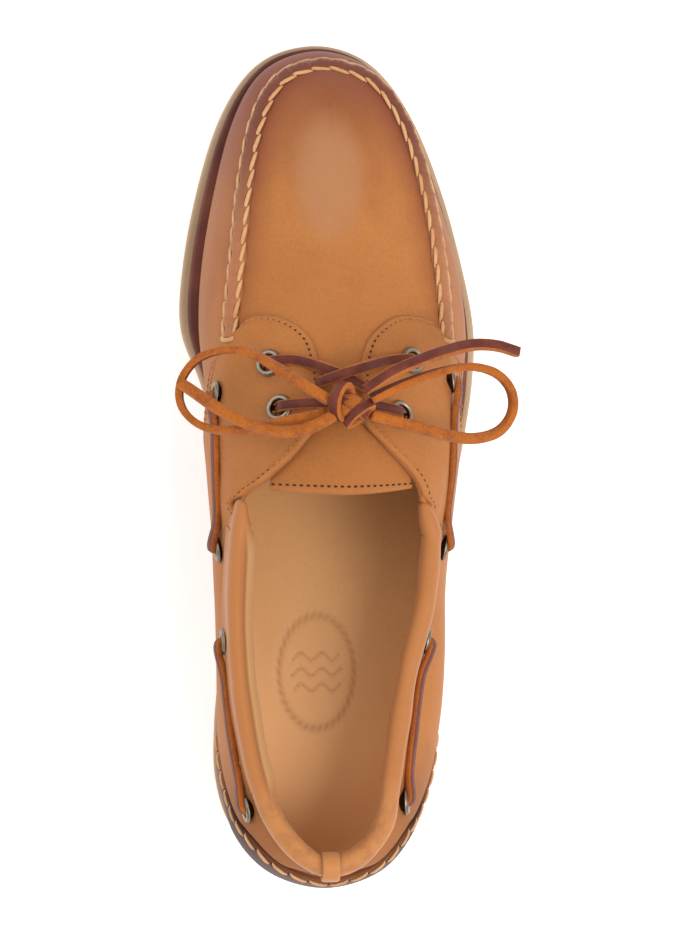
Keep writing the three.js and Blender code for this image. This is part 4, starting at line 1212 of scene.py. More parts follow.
def soft_folds(points):
    """Soft troughs and ridges, in millimetres along the normal."""
    x, y, z = points[..., 0], points[..., 1], points[..., 2]
    folds = [
        # centre x, y, z, reach across, along, height, depth
        (-38, 22, 40, 9, 7, 10, -0.5), (38, 20, 40, 9, 7, 10, -0.5),
        (-36, 8, 36, 12, 6, 9, 0.4), (38, 6, 36, 12, 6, 9, 0.4),
        (-30, 62, 62, 14, 7, 12, -0.35), (26, 66, 62, 14, 7, 12, -0.35),
        (-4, 96, 60, 26, 12, 14, 0.4), (-41, -40, 45, 10, 14, 14, 0.5), (37, -42, 45, 10, 14, 14, -0.4),
        (-40, -80, 50, 10, 10, 12, -0.4), (33, -84, 48, 10, 12, 12, 0.4),
    ]
    total = np.zeros_like(x)
    for cx, cy, cz, rx, ry, rz, depth in folds:
        total += depth * np.exp(-((x - cx) / rx) ** 2 - ((y - cy) / ry) ** 2 - ((z - cz) / rz) ** 2)
    return total


# Steps of the upper from the feather to the seam line, and on to its top edge
WALL_STEPS = 18
TOP_STEPS = 24
# The upper's top edge lies this share of a level below the panels, and lower beside the collar's front ends
TOP_RECESS = 0.02
COLLAR_RECESS = 0.22
THROAT_ROW = 7.9
# Rows added at the throat's corners, and the rows beside them that take their normals from the bare surface
CORNER_ROWS = [7.93, 7.97, 10.97]
CORNER_START, CORNER_END = 9.4, 12.0


def upper_grid(side, rows, offset):
    """Points of the upper at an offset from its outer surface, from the feather to its top edge."""
    sunk = COLLAR_RECESS * smooth(10.0, 10.3, rows) * (1 - smooth(11.6, 12.6, rows))
    limit = top_level(side, rows) - TOP_RECESS * (rows > THROAT_ROW) - sunk
    wall = np.linspace(0, 1, WALL_STEPS + 1)[None, :] + 0 * rows[:, None]
    top = 1 + (limit[:, None] - 1) * np.linspace(0, 1, TOP_STEPS + 1)[None, 1:]
    levels = np.concatenate([wall, top], 1)
    grid_rows = rows[:, None] + 0 * levels
    points = surface(side, grid_rows, levels)
    normals = shell_normals(side, points)
    near_corner = (rows > CORNER_START) & (rows < CORNER_END)
    normals[near_corner] = normal_at(side, grid_rows[near_corner], np.minimum(levels[near_corner], 1.999))
    if offset == 0:
        return points + normals * soft_folds(points)[..., None]
    return points + normals * offset


def shell_normals(side, points):
    """Normals of a grid of points from its own neighbours."""
    along = np.gradient(points, axis=0)
    up = np.gradient(points, axis=1)
    normals = unit(np.cross(along, up) * (1 if side < 0 else -1))
    flat = np.linalg.norm(np.cross(along, up), axis=-1) < 1e-6
    normals[flat] = (0, 0, 1)
    return normals


class SHOE_OT_upper(bpy.types.Operator):
    """Build the vamp, the plug and the lined wall"""
    bl_idname = "boat_shoe.upper"
    bl_label = "Upper"

    def execute(self, context):
        rows = np.sort(np.concatenate([fine_rows(per_row=12), CORNER_ROWS]))
        seam = seam_line(400)[0]
        build = Builder()
        distances = []
        for side in (MEDIAL, LATERAL):
            outer = upper_grid(side, rows, 0)
            inner = upper_grid(side, rows, -WALL)
            build.grid(outer, 0, flip=side > 0)
            build.grid(inner, 1, flip=side < 0)
            rim = rows >= THROAT_ROW
            build.grid(np.stack([outer[:, 0], inner[:, 0]], 1), 0, flip=side < 0)
            build.grid(np.stack([outer[rim, -1], inner[rim, -1]], 1), 0, flip=side > 0)
            near = [np.linalg.norm(row[:, None] - seam[None], axis=-1).min(1) for row in outer]
            unseen = inner[..., 0].size + 2 * (len(rows) + rim.sum())
            distances += [np.concatenate(near), np.full(unseen, FAR)]
        build.make("upper_shell", ["nubuck", "lining"], "nubuck", replaces=("upper",), weld=0.01,
                   attributes={"seam_mm": np.concatenate(distances)})
        return {"FINISHED"}


# Panels over the upper
def panel_lines(side, ribs, count):
    """Rows and levels of a panel's top and low edges, from a table of ribs."""
    finder = finders[side]
    top = np.array([finder.find(*rib[0]) for rib in ribs])
    low = np.array([finder.find(*rib[1]) for rib in ribs])
    places = np.linspace(0, len(ribs) - 1, count)
    return catmull(padded_line(top), places), catmull(padded_line(low), places)


# Distances from a panel's edge, in millimetres, at which its rounded edge has points
EDGE_STEPS = np.array([0.0, 0.12, 0.3, 0.6, 1.0, 1.6])


def rounded_edge(distance, radius=0.75):
    """How much lower a panel's face lies near its edge."""
    inside = np.clip(1 - distance / radius, 0, 1)
    return radius * (1 - np.sqrt(1 - inside ** 2))


# The folded top edge of a facing: place, width and depth of its trough, reach and depth of its round
FOLD_TROUGH = (3.5, 0.6, 0.3)
FOLD_ROUND = (1.8, 0.35)
PANEL_LEAST_WIDTH = 3.6
PANEL_STEPS = 34


def panel(name, side, ribs, finish, slot, replaces, count=260, closed_end=True):
    """A leather panel that lies on the upper between two edges."""
    top, low = panel_lines(side, ribs, count)
    width = np.linalg.norm(surface(side, top[:, 0], top[:, 1]) - surface(side, low[:, 0], low[:, 1]), axis=-1)
    width = np.maximum(width, PANEL_LEAST_WIDTH)
    edge = EDGE_STEPS[None, :] / width[:, None]
    inside = np.linspace(0, 1, PANEL_STEPS + 2)[None, 1:-1]
    spread = edge[:, -1:] + (1 - 2 * edge[:, -1:]) * inside
    share = np.concatenate([edge, spread, 1 - edge[:, ::-1]], 1)
    places = low[:, None] * (1 - share[..., None]) + top[:, None] * share[..., None]
    base = surface(side, places[..., 0], places[..., 1])
    normals = normal_at(side, places[..., 0], places[..., 1])
    steps = np.linalg.norm(np.diff(base, axis=1), axis=-1)
    from_low = np.concatenate([np.zeros((count, 1)), np.cumsum(steps, 1)], 1)
    from_top = from_low[:, -1:] - from_low
    run_top = run_length(base[:, -1])
    run_mid = run_top[:, None] + 0 * share
    from_front = np.minimum(np.minimum(run_top, run_length(base[:, 0]))[:, None], FAR)
    near = np.minimum(from_low, from_top)
    near = np.minimum(near, from_front + 0 * near)
    if closed_end:
        near = np.minimum(near, from_front[::-1] + 0 * near)
    place, reach, depth = FOLD_TROUGH
    fold = depth * np.exp(-((from_top - place) / reach) ** 2)
    fold += FOLD_ROUND[1] * rounded_edge(from_top, FOLD_ROUND[0])
    fold *= smooth(-20, -10, base[..., 1])
    height = CLEARANCE + OVERLAY - rounded_edge(near) - fold + soft_folds(base)
    face = base + normals * height[..., None]
    back = base + normals * (CLEARANCE * 0.5)
    build = Builder()
    build.slab(face, back, flip=side > 0)

    def everywhere(values):
        strips = [values[:, [0, 0]], values[:, [-1, -1]], np.stack([values[0], values[0]], 1),
                  np.stack([values[-1], values[-1]], 1)]
        return np.concatenate([values.ravel(), values.ravel()] + [strip.ravel() for strip in strips])
    attributes = {
        "top_mm": everywhere(from_top), "low_mm": everywhere(from_low), "run_mm": everywhere(run_mid),
    }
    made = build.make(name, [finish], slot, replaces=replaces, attributes=attributes)
    return made, {"base": base, "normals": normals, "from_top": from_top, "from_low": from_low}


# Top edge of the heel wrap: shares along the shoe and of the instep's height
COUNTER_EDGE = [
    (0.213, 0.270), (0.190, 0.325), (0.152, 0.390), (0.112, 0.453), (0.084, 0.535), (0.060, 0.620),
    (0.030, 0.660),
]
COUNTER_BACK = 0.667
COUNTER_LAP = 0.007
# Top edge of a facing's lobe: shares along the shoe and of the ball width across it
LOBE_EDGE = {
    MEDIAL: [(0.650, -0.326), (0.663, -0.300), (0.666, -0.247), (0.661, -0.196), (0.650, -0.146),
             (0.634, -0.114), (0.612, -0.098), (0.585, -0.091), (0.545, -0.098), (0.521, -0.150),
             (0.501, -0.198), (0.477, -0.277), (0.462, -0.330), (0.442, -0.345)],
    LATERAL: [(0.648, 0.305), (0.661, 0.275), (0.666, 0.214), (0.664, 0.157), (0.653, 0.104),
              (0.636, 0.060), (0.612, 0.037), (0.585, 0.031), (0.545, 0.036), (0.521, 0.093),
              (0.500, 0.154), (0.480, 0.205), (0.462, 0.229), (0.442, 0.244)],
}
# Low edge of a facing below its lobe: shares along the shoe and of the instep's height
FACING_FOOT = [
    (0.617, 0.560), (0.616, 0.545), (0.615, 0.530), (0.614, 0.515), (0.612, 0.502), (0.608, 0.490),
    (0.598, 0.472), (0.580, 0.452), (0.552, 0.431), (0.524, 0.411), (0.500, 0.397), (0.476, 0.383),
    (0.450, 0.373), (0.424, 0.365),
]
# Ribs along the collar: the row of their top, and the place of their foot
COLLAR_RIBS = [(11.4, 0.392, 0.358), (12.0, 0.340, 0.351), (13.0, 0.262, 0.346)]
HEEL_RIB_ROWS = (14.0, 15.0, 16.0, 16.8, 17.5, 18.0)


def quarter_ribs(side):
    """Top and low ends of the ribs of a quarter, from its lobe at the plug to the heel."""
    ribs = [(("plan", *high), ("side", *foot)) for high, foot in zip(LOBE_EDGE[side], FACING_FOOT)]
    ribs += [(("row", row, 2.0), ("side", along, height)) for row, along, height in COLLAR_RIBS]
    for row, (along, height) in zip(HEEL_RIB_ROWS, COUNTER_EDGE[1:]):
        ribs.append((("row", row, 2.0), ("side", along + COUNTER_LAP, height + COUNTER_LAP)))
    return ribs


# Sections of a stitch: the share of its length, of its width and of its height above the line
STITCH_ROWS = table(["along", "swell", "lift"], [
    [-0.50, 0.30, -0.75],
    [-0.44, 0.62, -0.35],
    [-0.30, 0.90, 0.00],
    [-0.12, 1.00, 0.10],
    [0.12, 1.00, 0.10],
    [0.30, 0.90, 0.00],
    [0.44, 0.62, -0.35],
    [0.50, 0.30, -0.75],
])


def spindle_rows(build, centres, along, up, length, width, height, index=0):
    """Stitches of thick thread: a rounded spindle at each centre, its ends sunk in."""
    ring = np.linspace(0, 2 * math.pi, 8, endpoint=False)
    stations, swell, lift = STITCH_ROWS["along"], STITCH_ROWS["swell"], STITCH_ROWS["lift"]
    side = np.cross(up, along)
    for centre, run, rise, across in zip(centres, along, up, side):
        middle = centre + run * (stations * length)[:, None] + rise * (lift * height)[:, None]
        rings = (middle[:, None] + across * (np.cos(ring)[None, :, None] * (swell * width / 2)[:, None, None])
                 + rise * (np.sin(ring)[None, :, None] * (swell * height / 2)[:, None, None]))
        build.tube(rings, index)


def stitches_on_line(build, line, up, pitch, length, width, height, slant=0.0, index=0, between=False):
    """Stitches at even steps along a line with its upward directions, or, between them, dark spindles painted
    as the shade inside their holes.
    """
    run = run_length(line)
    count = int(run[-1] / pitch)
    at = (np.arange(count) + (1.0 if between else 0.5)) * (run[-1] / count)
    centres = np.stack([np.interp(at, run, line[:, axis]) for axis in range(3)], -1)
    ups = unit(np.stack([np.interp(at, run, up[:, axis]) for axis in range(3)], -1))
    tangent = unit(np.gradient(line, axis=0))
    along = np.stack([np.interp(at, run, tangent[:, axis]) for axis in range(3)], -1)
    along = unit(along - ups * np.sum(along * ups, -1, keepdims=True))
    side = np.cross(ups, along)
    angle = math.radians(slant)
    along = along * math.cos(angle) + side * math.sin(angle)
    spindle_rows(build, centres, along, ups, length, width, height, index)


def inner_line(details, key, distance, lift):
    """A line on a panel at a distance from its top or low edge, with its normals."""
    far = details["from_top" if key == "top" else "from_low"]
    base, normals = details["base"], details["normals"]
    line, ups = [], []
    for row in range(len(base)):
        order = slice(None, None, -1) if key == "top" else slice(None)
        values = far[row][order]
        line.append([np.interp(distance, values, base[row][order][:, axis]) for axis in range(3)])
        ups.append([np.interp(distance, values, normals[row][order][:, axis]) for axis in range(3)])
    ups = unit(np.array(ups))
    return np.array(line) + ups * lift, ups


# Machine seams of a facing: the edge, the distance from it, and the share of its length that is sewn
FACING_SEAMS = [("top", 2.1), ("low", 1.7), ("low", 4.4)]
FACING_SEAM_ENDS = {"top": 0.48, "low": 0.4}
# A machine stitch: the share of the pitch that shows, and its width and height
NEEDLE_STITCH = (0.72, 0.62, 0.36)


class SHOE_OT_quarters(bpy.types.Operator):
    """Build the two facings, carried back along the collar"""
    bl_idname = "boat_shoe.quarters"
    bl_label = "Quarters"

    def execute(self, context):
        pitch = context.scene.boat_shoe_sizes.needle_pitch / MM
        shown, wide, high = NEEDLE_STITCH
        for side, word in ((MEDIAL, "medial"), (LATERAL, "lateral")):
            made, details = panel(f"facing_{word}", side, quarter_ribs(side), "panel", "nubuck",
                                  (f"quarter_{word}",))
            self.cut_holes(made, side)
            build = Builder()
            for key, distance in FACING_SEAMS:
                line, ups = inner_line(details, key, distance, CLEARANCE + OVERLAY - 0.02)
                last = int(len(line) * FACING_SEAM_ENDS[key])
                stitches_on_line(build, line[:last], ups[:last], pitch, pitch * shown, wide, high)
            build.make(f"facing_{word}_stitches", ["tan_thread"], "thread")
        return {"FINISHED"}

    def cut_holes(self, made, side):
        """Takes the round eyelet holes out of a panel's faces."""
        centres = [eyelet_frame(place) for place in EYELETS if place[1] == side]
        work = bmesh.new()
        work.from_mesh(made.data)
        gone = []
        for face in work.faces:
            middle = face.calc_center_median() / MM
            for point, normal, _ in centres:
                away = np.array(middle) - point
                level = away.dot(normal)
                if abs(level) < 5 and np.linalg.norm(away - normal * level) < EYELET_BORE / 2 - 0.3:
                    gone.append(face)
                    break
        bmesh.ops.delete(work, geom=gone, context="FACES")
        work.to_mesh(made.data)
        work.free()


# The hand stitches of the heel wrap. Its seam starts this many steps behind the wrap's front end
WRAP_SEAM_INSET = 1.9
WRAP_SEAM_START = 30
WRAP_PITCH = 6.8
WRAP_STITCH = 6.9


class SHOE_OT_counter(bpy.types.Operator):
    """Build the heel wrap and its hand stitches"""
    bl_idname = "boat_shoe.counter"
    bl_label = "Heel counter"

    def execute(self, context):
        build = Builder()
        for side, word in ((MEDIAL, "medial"), (LATERAL, "lateral")):
            edge = [finders[side].find("side", along, height) for along, height in COUNTER_EDGE]
            edge.append((LAST_ROW, self.back_level(side)))
            ribs = [(("row", *place), ("row", place[0], 0.02)) for place in edge]
            _, details = panel(f"heel_wrap_{word}", side, ribs, "wrap", "nubuck", ("heel_counter",),
                               count=160, closed_end=False)
            line, ups = inner_line(details, "top", WRAP_SEAM_INSET, CLEARANCE + OVERLAY + 0.3)
            line, ups = line[WRAP_SEAM_START:], ups[WRAP_SEAM_START:]
            stitches_on_line(build, line, ups, WRAP_PITCH, WRAP_STITCH, 1.35, 1.0, slant=14 * side)
            # Dark spindles between the stitches, as painted shade in their holes
            stitches_on_line(build, line - ups * 0.35, ups, WRAP_PITCH, 1.0, 1.4, 0.7, index=1, between=True)
        build.make("heel_hand_stitches", ["thread", "hole"], "thread")
        return {"FINISHED"}

    def back_level(self, side):
        levels = np.linspace(0.5, 2, 400)
        heights = surface(side, np.full(400, float(LAST_ROW)), levels)[:, 2]
        return float(np.interp(COUNTER_BACK * INSTEP_HEIGHT, heights, levels))


# The ridge around the plug. Its section has places across the seam line and above it
RIDGE_END_ROW = 6.25
RIDGE_SECTION = [
    (-3.3, -0.3), (-2.9, 0.35), (-2.4, 1.0), (-1.7, 1.75), (-0.6, 2.2), (0.6, 2.2), (1.7, 1.75),
    (2.4, 1.0), (2.9, 0.35), (3.3, -0.3),
]
RIDGE_TOP = 2.2
RIDGE_STEP = 0.35
# Rows of stitches beside the ridge: place across it, width, lift and slant
HAND_STITCHES = [(2.5, 1.4, 0.95, -9), (-2.5, 1.2, 0.75, 9)]
# A stitch over each end of the ridge: places beyond the end, across and above it
END_STITCH = [
    (0.0, -2.6, 0.6), (0.9, -1.9, 1.6), (1.3, -0.7, 2.3), (1.3, 0.7, 2.3), (0.9, 1.9, 1.6), (0.0, 2.6, 0.6),
]
END_STITCH_RADIUS = 0.75
# The gathers of the ridge, as shares of its height, the sway of its line and the depth of its pinches
RIDGE_PUFF = 0.16
RIDGE_UNEVENNESS = 0.07
RIDGE_SWAY = 0.22
PINCH_DEPTH = 0.45
PINCH_PLACE = 2.5
PLUG_CENTRE = np.array([-4.0, 40.0, 0.0])


def seam_line(count=900):
    """Points of the plug's seam line from the medial end around the toe, with their normals."""
    rows = np.linspace(RIDGE_END_ROW, 0, count // 2)
    medial = surface(MEDIAL, rows, 1.0 + 0 * rows)
    lateral = surface(LATERAL, rows[::-1], 1.0 + 0 * rows)
    line = np.concatenate([medial, lateral[1:]])
    out = line - PLUG_CENTRE
    out[:, 2] = 0
    tangent = unit(np.gradient(line, axis=0))
    outward = unit(np.cross(tangent, (0, 0, 1.0)))
    outward *= np.sign(np.sum(outward * out, -1, keepdims=True))
    up = unit(outward * 0.62 + np.array([0, 0, 0.78]))
    return line, up


class SHOE_OT_seam(bpy.types.Operator):
    """Build the gathered ridge of the plug with its two rows of hand stitches"""
    bl_idname = "boat_shoe.seam"
    bl_label = "Plug seam"

    def execute(self, context):
        sizes = context.scene.boat_shoe_sizes
        pitch = sizes.stitch_pitch / MM
        tall = sizes.ridge_height / MM
        line, up = seam_line()
        line = resampled(np.concatenate([line, up], 1), RIDGE_STEP)
        line, up = line[:, :3], unit(line[:, 3:])
        along, across, up = line_frames(line, up)
        run = run_length(line)
        phase = 2 * math.pi * run / pitch
        puff = 1 + RIDGE_PUFF * np.cos(phase) + RIDGE_UNEVENNESS * np.cos(2.7 * phase + 1.0)
        shift = RIDGE_SWAY * np.sin(phase * 0.5 + 0.6)
        section = np.array(RIDGE_SECTION)
        heights = section[:, 1] * tall / RIDGE_TOP
        pinch = np.exp(-((np.abs(section[:, 0]) - PINCH_PLACE) / 0.5) ** 2)
        notch = 0.5 * (1 - np.cos(phase))
        heights = heights[None, :] * puff[:, None] - PINCH_DEPTH * pinch[None, :] * notch[:, None]
        rings = (line[:, None] + across[:, None] * (section[None, :, :1] + shift[:, None, None])
                 + up[:, None] * heights[..., None])
        build = Builder()
        build.tube(rings, closed=False)
        build.grid(rings[:, [0, -1]], flip=True)
        build.make("plug_ridge", ["seam"], "seam_leather", replaces=("moc_seam",), weld=0.0005)
        build = Builder()
        inward = self.inward_sign(line, across)
        for offset, width, lift, slant in HAND_STITCHES:
            row = line + across * (offset * inward) + up * lift
            lean = unit(up + across * 0.35 * np.sign(offset) * inward)
            stitches_on_line(build, row, lean, pitch, pitch * 1.27, width, 0.95, slant)
            # Dark spindles between the stitches, as painted shade in their holes
            stitches_on_line(build, row - lean * 0.35, lean, pitch, 0.9, width * 1.4, 0.7, index=1,
                             between=True)
        for place, back in ((1, -1), (-2, 1)):
            over = [line[place] + along[place] * back * reach + across[place] * offset + up[place] * lift
                    for reach, offset, lift in END_STITCH]
            self.arch(build, curve_through(over, 24), up[place])
        build.make("plug_stitches", ["thread", "hole"], "thread")
        return {"FINISHED"}

    def arch(self, build, line, outward):
        """One thick round stitch over the end of the ridge."""
        _, across, up = line_frames(line, np.tile(outward, (len(line), 1)))
        angle = np.linspace(0, 2 * math.pi, 12, endpoint=False)
        wide, high = END_STITCH_RADIUS * np.cos(angle), END_STITCH_RADIUS * np.sin(angle)
        rings = line[:, None] + across[:, None] * wide[None, :, None] + up[:, None] * high[None, :, None]
        build.tube(rings)

    def inward_sign(self, line, across):
        middle = len(line) // 2
        return float(np.sign(across[middle].dot(PLUG_CENTRE - line[middle])))


# The collar, with the skirt that carries its outer side down onto the facing. Sizes are in millimetres,
# and turns around the roll in radians
COLLAR_CENTRE = np.array([-6.0, -80.0, 0.0])
ROLL_INSET = 1.0
ROLL_SQUARENESS = (0.85, 0.9)
ROLL_SIDES = 60
ROLL_END_SCALE = 0.28
ROLL_TAPER = 7
ROLL_LUMPS = 14
LUMP_DEPTH = 0.012
SKIRT_OUT = 0.7
SKIRT_DROP = 3.2
COLLAR_SEAM_TURN = 1.95
COLLAR_LINING_TURN = 4.5
ROLL_FRONT_REACH = 11.0
ROLL_FRONT_RISE = 1.6
ROLL_FRONT_TURNS = (0.6, -3.4)
LINING_REACH = 2.2
LINING_DROP = 4.0
STRAP_HALF = 2.9
STRAP_OUTSIDE = 1.5
STRAP_EDGE_DROP = 0.35
STRAP_START, STRAP_END = -0.2 * math.pi, 1.12 * math.pi
# The seam below the roll: where it ends along the shoe, how far it lies out and down, and its stitches
HEEL_SEAM_END = -100
HEEL_SEAM_OUT = CLEARANCE + OVERLAY + 1.4
HEEL_SEAM_DOWN = 3.0
HEEL_SEAM_PITCH = 2.8
HEEL_SEAM_STITCH = (2.1, 0.6, 0.5)


class SHOE_OT_collar(bpy.types.Operator):
    """Build the padded collar, its seam and the strap at the heel"""
    bl_idname = "boat_shoe.collar"
    bl_label = "Collar"

    def execute(self, context):
        rows = np.linspace(TOPLINE_START, LAST_ROW, 240)
        line = np.concatenate([topline_point(MEDIAL, rows), topline_point(LATERAL, rows[::-1])[1:]])
        share = np.linspace(1, 0, 12, endpoint=False)[:, None]
        fronts = [share * (turn, ROLL_FRONT_REACH, ROLL_FRONT_RISE) for turn in ROLL_FRONT_TURNS]
        line = np.concatenate([line[0] + fronts[0], line, (line[-1] + fronts[1])[::-1]])
        heel = smooth(-106, -118, line[:, 1])
        along = unit(np.gradient(line, axis=0))
        out = unit(np.cross(along, (0, 0, 1.0)))
        away = (line - COLLAR_CENTRE)[:, :2]
        out *= np.sign(np.sum(out[:, :2] * away, -1))[:, None]
        up = unit(np.cross(out, along))
        up *= np.sign(up[:, 2:])
        middle = line - out * ROLL_INSET
        middle[:, 2] += ROLL_HEIGHT / 2 + CLEARANCE
        angle = np.linspace(0, 2 * math.pi, ROLL_SIDES, endpoint=False)
        wide, high = (size / 2 * np.sign(turned) * np.abs(turned) ** power for size, turned, power in zip(
            (ROLL_WIDTH, ROLL_HEIGHT), (np.cos(angle), np.sin(angle)), ROLL_SQUARENESS))
        run = run_length(line)
        end = np.minimum(run, run[-1] - run)
        scale = ROLL_END_SCALE + 0.52 * np.sqrt(np.clip(end / ROLL_TAPER, 0, 1)) + 0.2 * smooth(2, 13, end)
        random = np.random.default_rng(11)
        lumps = np.zeros_like(run)
        for _ in range(ROLL_LUMPS):
            lumps += LUMP_DEPTH * np.sin(run * random.uniform(0.04, 0.35) + random.uniform(0, 6.3))
        scale = scale * (1 + lumps)
        sinking = np.clip(-np.sin(angle), 0, 1) * (np.cos(angle) > 0)
        skirt = smooth(0, 1, sinking) * (sinking <= 0.985)
        skirt = (1 - heel)[:, None] * skirt[None, :]
        wide = wide[None, :] * (1 - skirt) + (ROLL_WIDTH / 2 + SKIRT_OUT * sinking[None, :]) * skirt
        high = high[None, :] - SKIRT_DROP * skirt
        lined = (1 - heel) * smooth(-2, -14, line[:, 0]) * smooth(4, 20, end)
        inward = np.clip(-np.cos(angle), 0, 1)[None, :] * lined[:, None]
        wide = wide - LINING_REACH * inward
        high = high - LINING_DROP * inward
        rings = (middle[:, None] + out[:, None] * (wide * scale[:, None])[..., None]
                 + up[:, None] * (high * scale[:, None])[..., None])
        build = Builder()
        build.tube(rings)
        turn = angle[None, :] + 0 * run[:, None]
        flank = (1 - heel)[:, None] + 0 * turn
        inner = smooth(COLLAR_SEAM_TURN - 0.05, COLLAR_SEAM_TURN + 0.05, turn) * (turn < COLLAR_LINING_TURN)
        values = {
            "flank": flank, "heel": 1 - flank,
            "inner": inner * lined[:, None],
            # Where the painted shade of the seam's crease lies
            "seam": np.exp(-((turn - COLLAR_SEAM_TURN) / 0.07) ** 2) * lined[:, None],
        }
        roll = build.make("collar_roll", ["collar"], "collar_leather", replaces=("collar",), weld=0.0005,
                          attributes={key: value.ravel() for key, value in values.items()})
        self.strap(middle[len(middle) // 2])
        self.heel_seam(line, out)
        return {"FINISHED"}

    def heel_seam(self, line, out):
        """The fine row of stitches below the roll around the heel."""
        near = line[:, 1] < HEEL_SEAM_END
        low = line[near] + out[near] * HEEL_SEAM_OUT
        low[:, 2] -= HEEL_SEAM_DOWN
        build = Builder()
        stitches_on_line(build, low, out[near], HEEL_SEAM_PITCH, *HEEL_SEAM_STITCH)
        build.make("heel_seam_stitches", ["thread"], "thread")

    def strap(self, centre):
        """The narrow strap over the roll at the back."""
        angle = np.linspace(STRAP_START, STRAP_END, 40)
        build = Builder()
        across = np.linspace(-STRAP_HALF, STRAP_HALF, 9)
        edge = STRAP_EDGE_DROP * (np.abs(across) / STRAP_HALF) ** 6
        faces = []
        for growth, drop in ((STRAP_OUTSIDE, edge), (CLEARANCE, 0 * edge)):
            wide = ROLL_WIDTH / 2 + growth
            high = ROLL_HEIGHT / 2 + growth
            y = centre[1] - np.cos(angle)[:, None] * (wide - drop[None, :])
            z = centre[2] + np.sin(angle)[:, None] * (high - drop[None, :])
            x = centre[0] + across[None, :] + 0 * y
            faces.append(np.stack([x, y, z], -1))
        build.slab(*faces)
        build.make("heel_strap", ["collar"], "collar_leather", replaces=("back_tab",), weld=0.001)


# Ends of the tongue's ribs: shares along the shoe, and of the ball width on its medial and lateral side
TONGUE_RIBS = [(0.620, 0.150, 0.150), (0.560, 0.205, 0.160), (0.500, 0.258, 0.194), (0.470, 0.274, 0.214)]
TONGUE_STEPS = 60
TONGUE_COLUMNS = 30
# Stitches across the tongue are counted from this far to the medial side of the shoe's middle
TONGUE_SEAM_SHIFT = 60
# Distance from the seam given to the tongue's hidden edges, along its rim and at its front end
TONGUE_RIM_VALUE = 9.0
TONGUE_END_VALUE = 50.0


class SHOE_OT_tongue(bpy.types.Operator):
    """Build the tongue that shows in the throat"""
    bl_idname = "boat_shoe.tongue"
    bl_label = "Tongue"

    def execute(self, context):
        build = Builder()
        values = []
        for side, column in ((MEDIAL, 1), (LATERAL, 2)):
            rim = np.array([finders[side].find("plan", rib[0], side * rib[column]) for rib in TONGUE_RIBS])
            spine = np.array([(spine_row(rib[0]), 2.0) for rib in TONGUE_RIBS])
            places = np.linspace(0, len(TONGUE_RIBS) - 1, TONGUE_STEPS)
            rim = catmull(padded_line(rim), places)
            spine = catmull(padded_line(spine), places)
            share = np.linspace(0, 1, TONGUE_COLUMNS)[None, :, None]
            grid = rim[:, None] * (1 - share) + spine[:, None] * share
            levels = np.clip(grid[..., 1], 0, 2)
            base = surface(side, grid[..., 0], levels)
            normals = normal_at(side, grid[..., 0], np.minimum(levels, 1.999))
            normals[:, -1] = unit(normals[:, -1] * (0, 1, 1))
            run = run_length(base[:, -1])
            end = (run[-1] - run)[:, None] + 0 * levels
            drop = rounded_edge(np.minimum(end, 9), 0.9)
            face = base - normals * (WALL + CLEARANCE + drop)[..., None]
            back = base - normals * (WALL + CLEARANCE + TONGUE)
            build.grid(face, flip=side > 0)
            build.grid(back, flip=side < 0)
            build.grid(np.stack([face[:, 0], back[:, 0]], 1), flip=side < 0)
            build.grid(np.stack([face[-1], back[-1]], 1), flip=side < 0)
            build.grid(np.stack([face[0], back[0]], 1), flip=side > 0)
            values += [end.ravel(), end.ravel(), np.full(2 * TONGUE_STEPS, TONGUE_RIM_VALUE),
                       end[[-1, -1]].T.ravel(), np.full(2 * TONGUE_COLUMNS, TONGUE_END_VALUE)]
        across = np.concatenate(build.points)[:, 0] + TONGUE_SEAM_SHIFT
        build.make("tongue_flap", ["tongue"], "nubuck", replaces=("tongue",),
                   attributes={"top_mm": np.concatenate(values), "run_mm": across})
        return {"FINISHED"}


# Eyelets and the other laces. An eyelet has a name, a side, and its row and level on the upper
EYELETS = [
    ("eyelet_medial_front", MEDIAL, 6.75, 1.36), ("eyelet_medial_rear", MEDIAL, 7.70, 1.44),
    ("eyelet_lateral_front", LATERAL, 6.70, 1.38), ("eyelet_lateral_rear", LATERAL, 7.85, 1.50),
    ("eyelet_medial_side_1", MEDIAL, 7.35, 0.88), ("eyelet_medial_side_2", MEDIAL, 11.10, 0.82),
    ("eyelet_medial_side_3", MEDIAL, 12.62, 1.45), ("eyelet_medial_side_4", MEDIAL, 15.45, 1.45),
    ("eyelet_lateral_side_1", LATERAL, 7.08, 0.97), ("eyelet_lateral_side_2", LATERAL, 11.10, 0.80),
    ("eyelet_lateral_side_3", LATERAL, 12.62, 1.45), ("eyelet_lateral_side_4", LATERAL, 15.40, 1.48),
]
OVERLAY_SEAT = CLEARANCE + OVERLAY
EYELET_LIFT = 0.5
# The rings at the sides stand more upright than the leather around them
SIDE_EYELET_LEAN = np.array([1.0, 1.0, 0.3])
EYELET_FLANGE = 1.1
EYELET_SIDES = 64
EYELET_NOTCHES = 16
NOTCH_DEPTH = 0.07
NOTCHED_ROW = 8
LACE_LIE = OVERLAY_SEAT + CLEARANCE + LACE_THICKNESS / 2
LACE_SEAT = LACE_LIE + EYELET_LIFT + EYELET_FLANGE
LACE_END = 1.5
# The laces over the instep: the drop and the reach of their bends, and the rows and heights of their middles
MOUTH_DROP = 0.8
MOUTH_REACH = 1.6
CROSSING_ROW, CROSSING_LIFT = 6.75, 2.2
BRIDGE_ROW, BRIDGE_LIFT = 7.55, 2.1
# The laces at the sides are drawn tight, so they are thinner and lie closer to the leather
SIDE_LACE_THICKNESS = 2.0
SIDE_LACE_LIE = OVERLAY_SEAT + 1.05
SIDE_LACE_SEAT = OVERLAY_SEAT + 2.3
# A lace over the instep by its side, with a place beside its eyelet, over the middle and its end
CROSSING_BARS = [
    ("medial", (8, 0.5, 2.6), (-3, -1.5, 0), (5.5, -6, -1.6)),
    ("lateral", (-8, -0.5, 3.4), (1, -1.2, 3.0), (-7.5, -4.5, 0)),
]


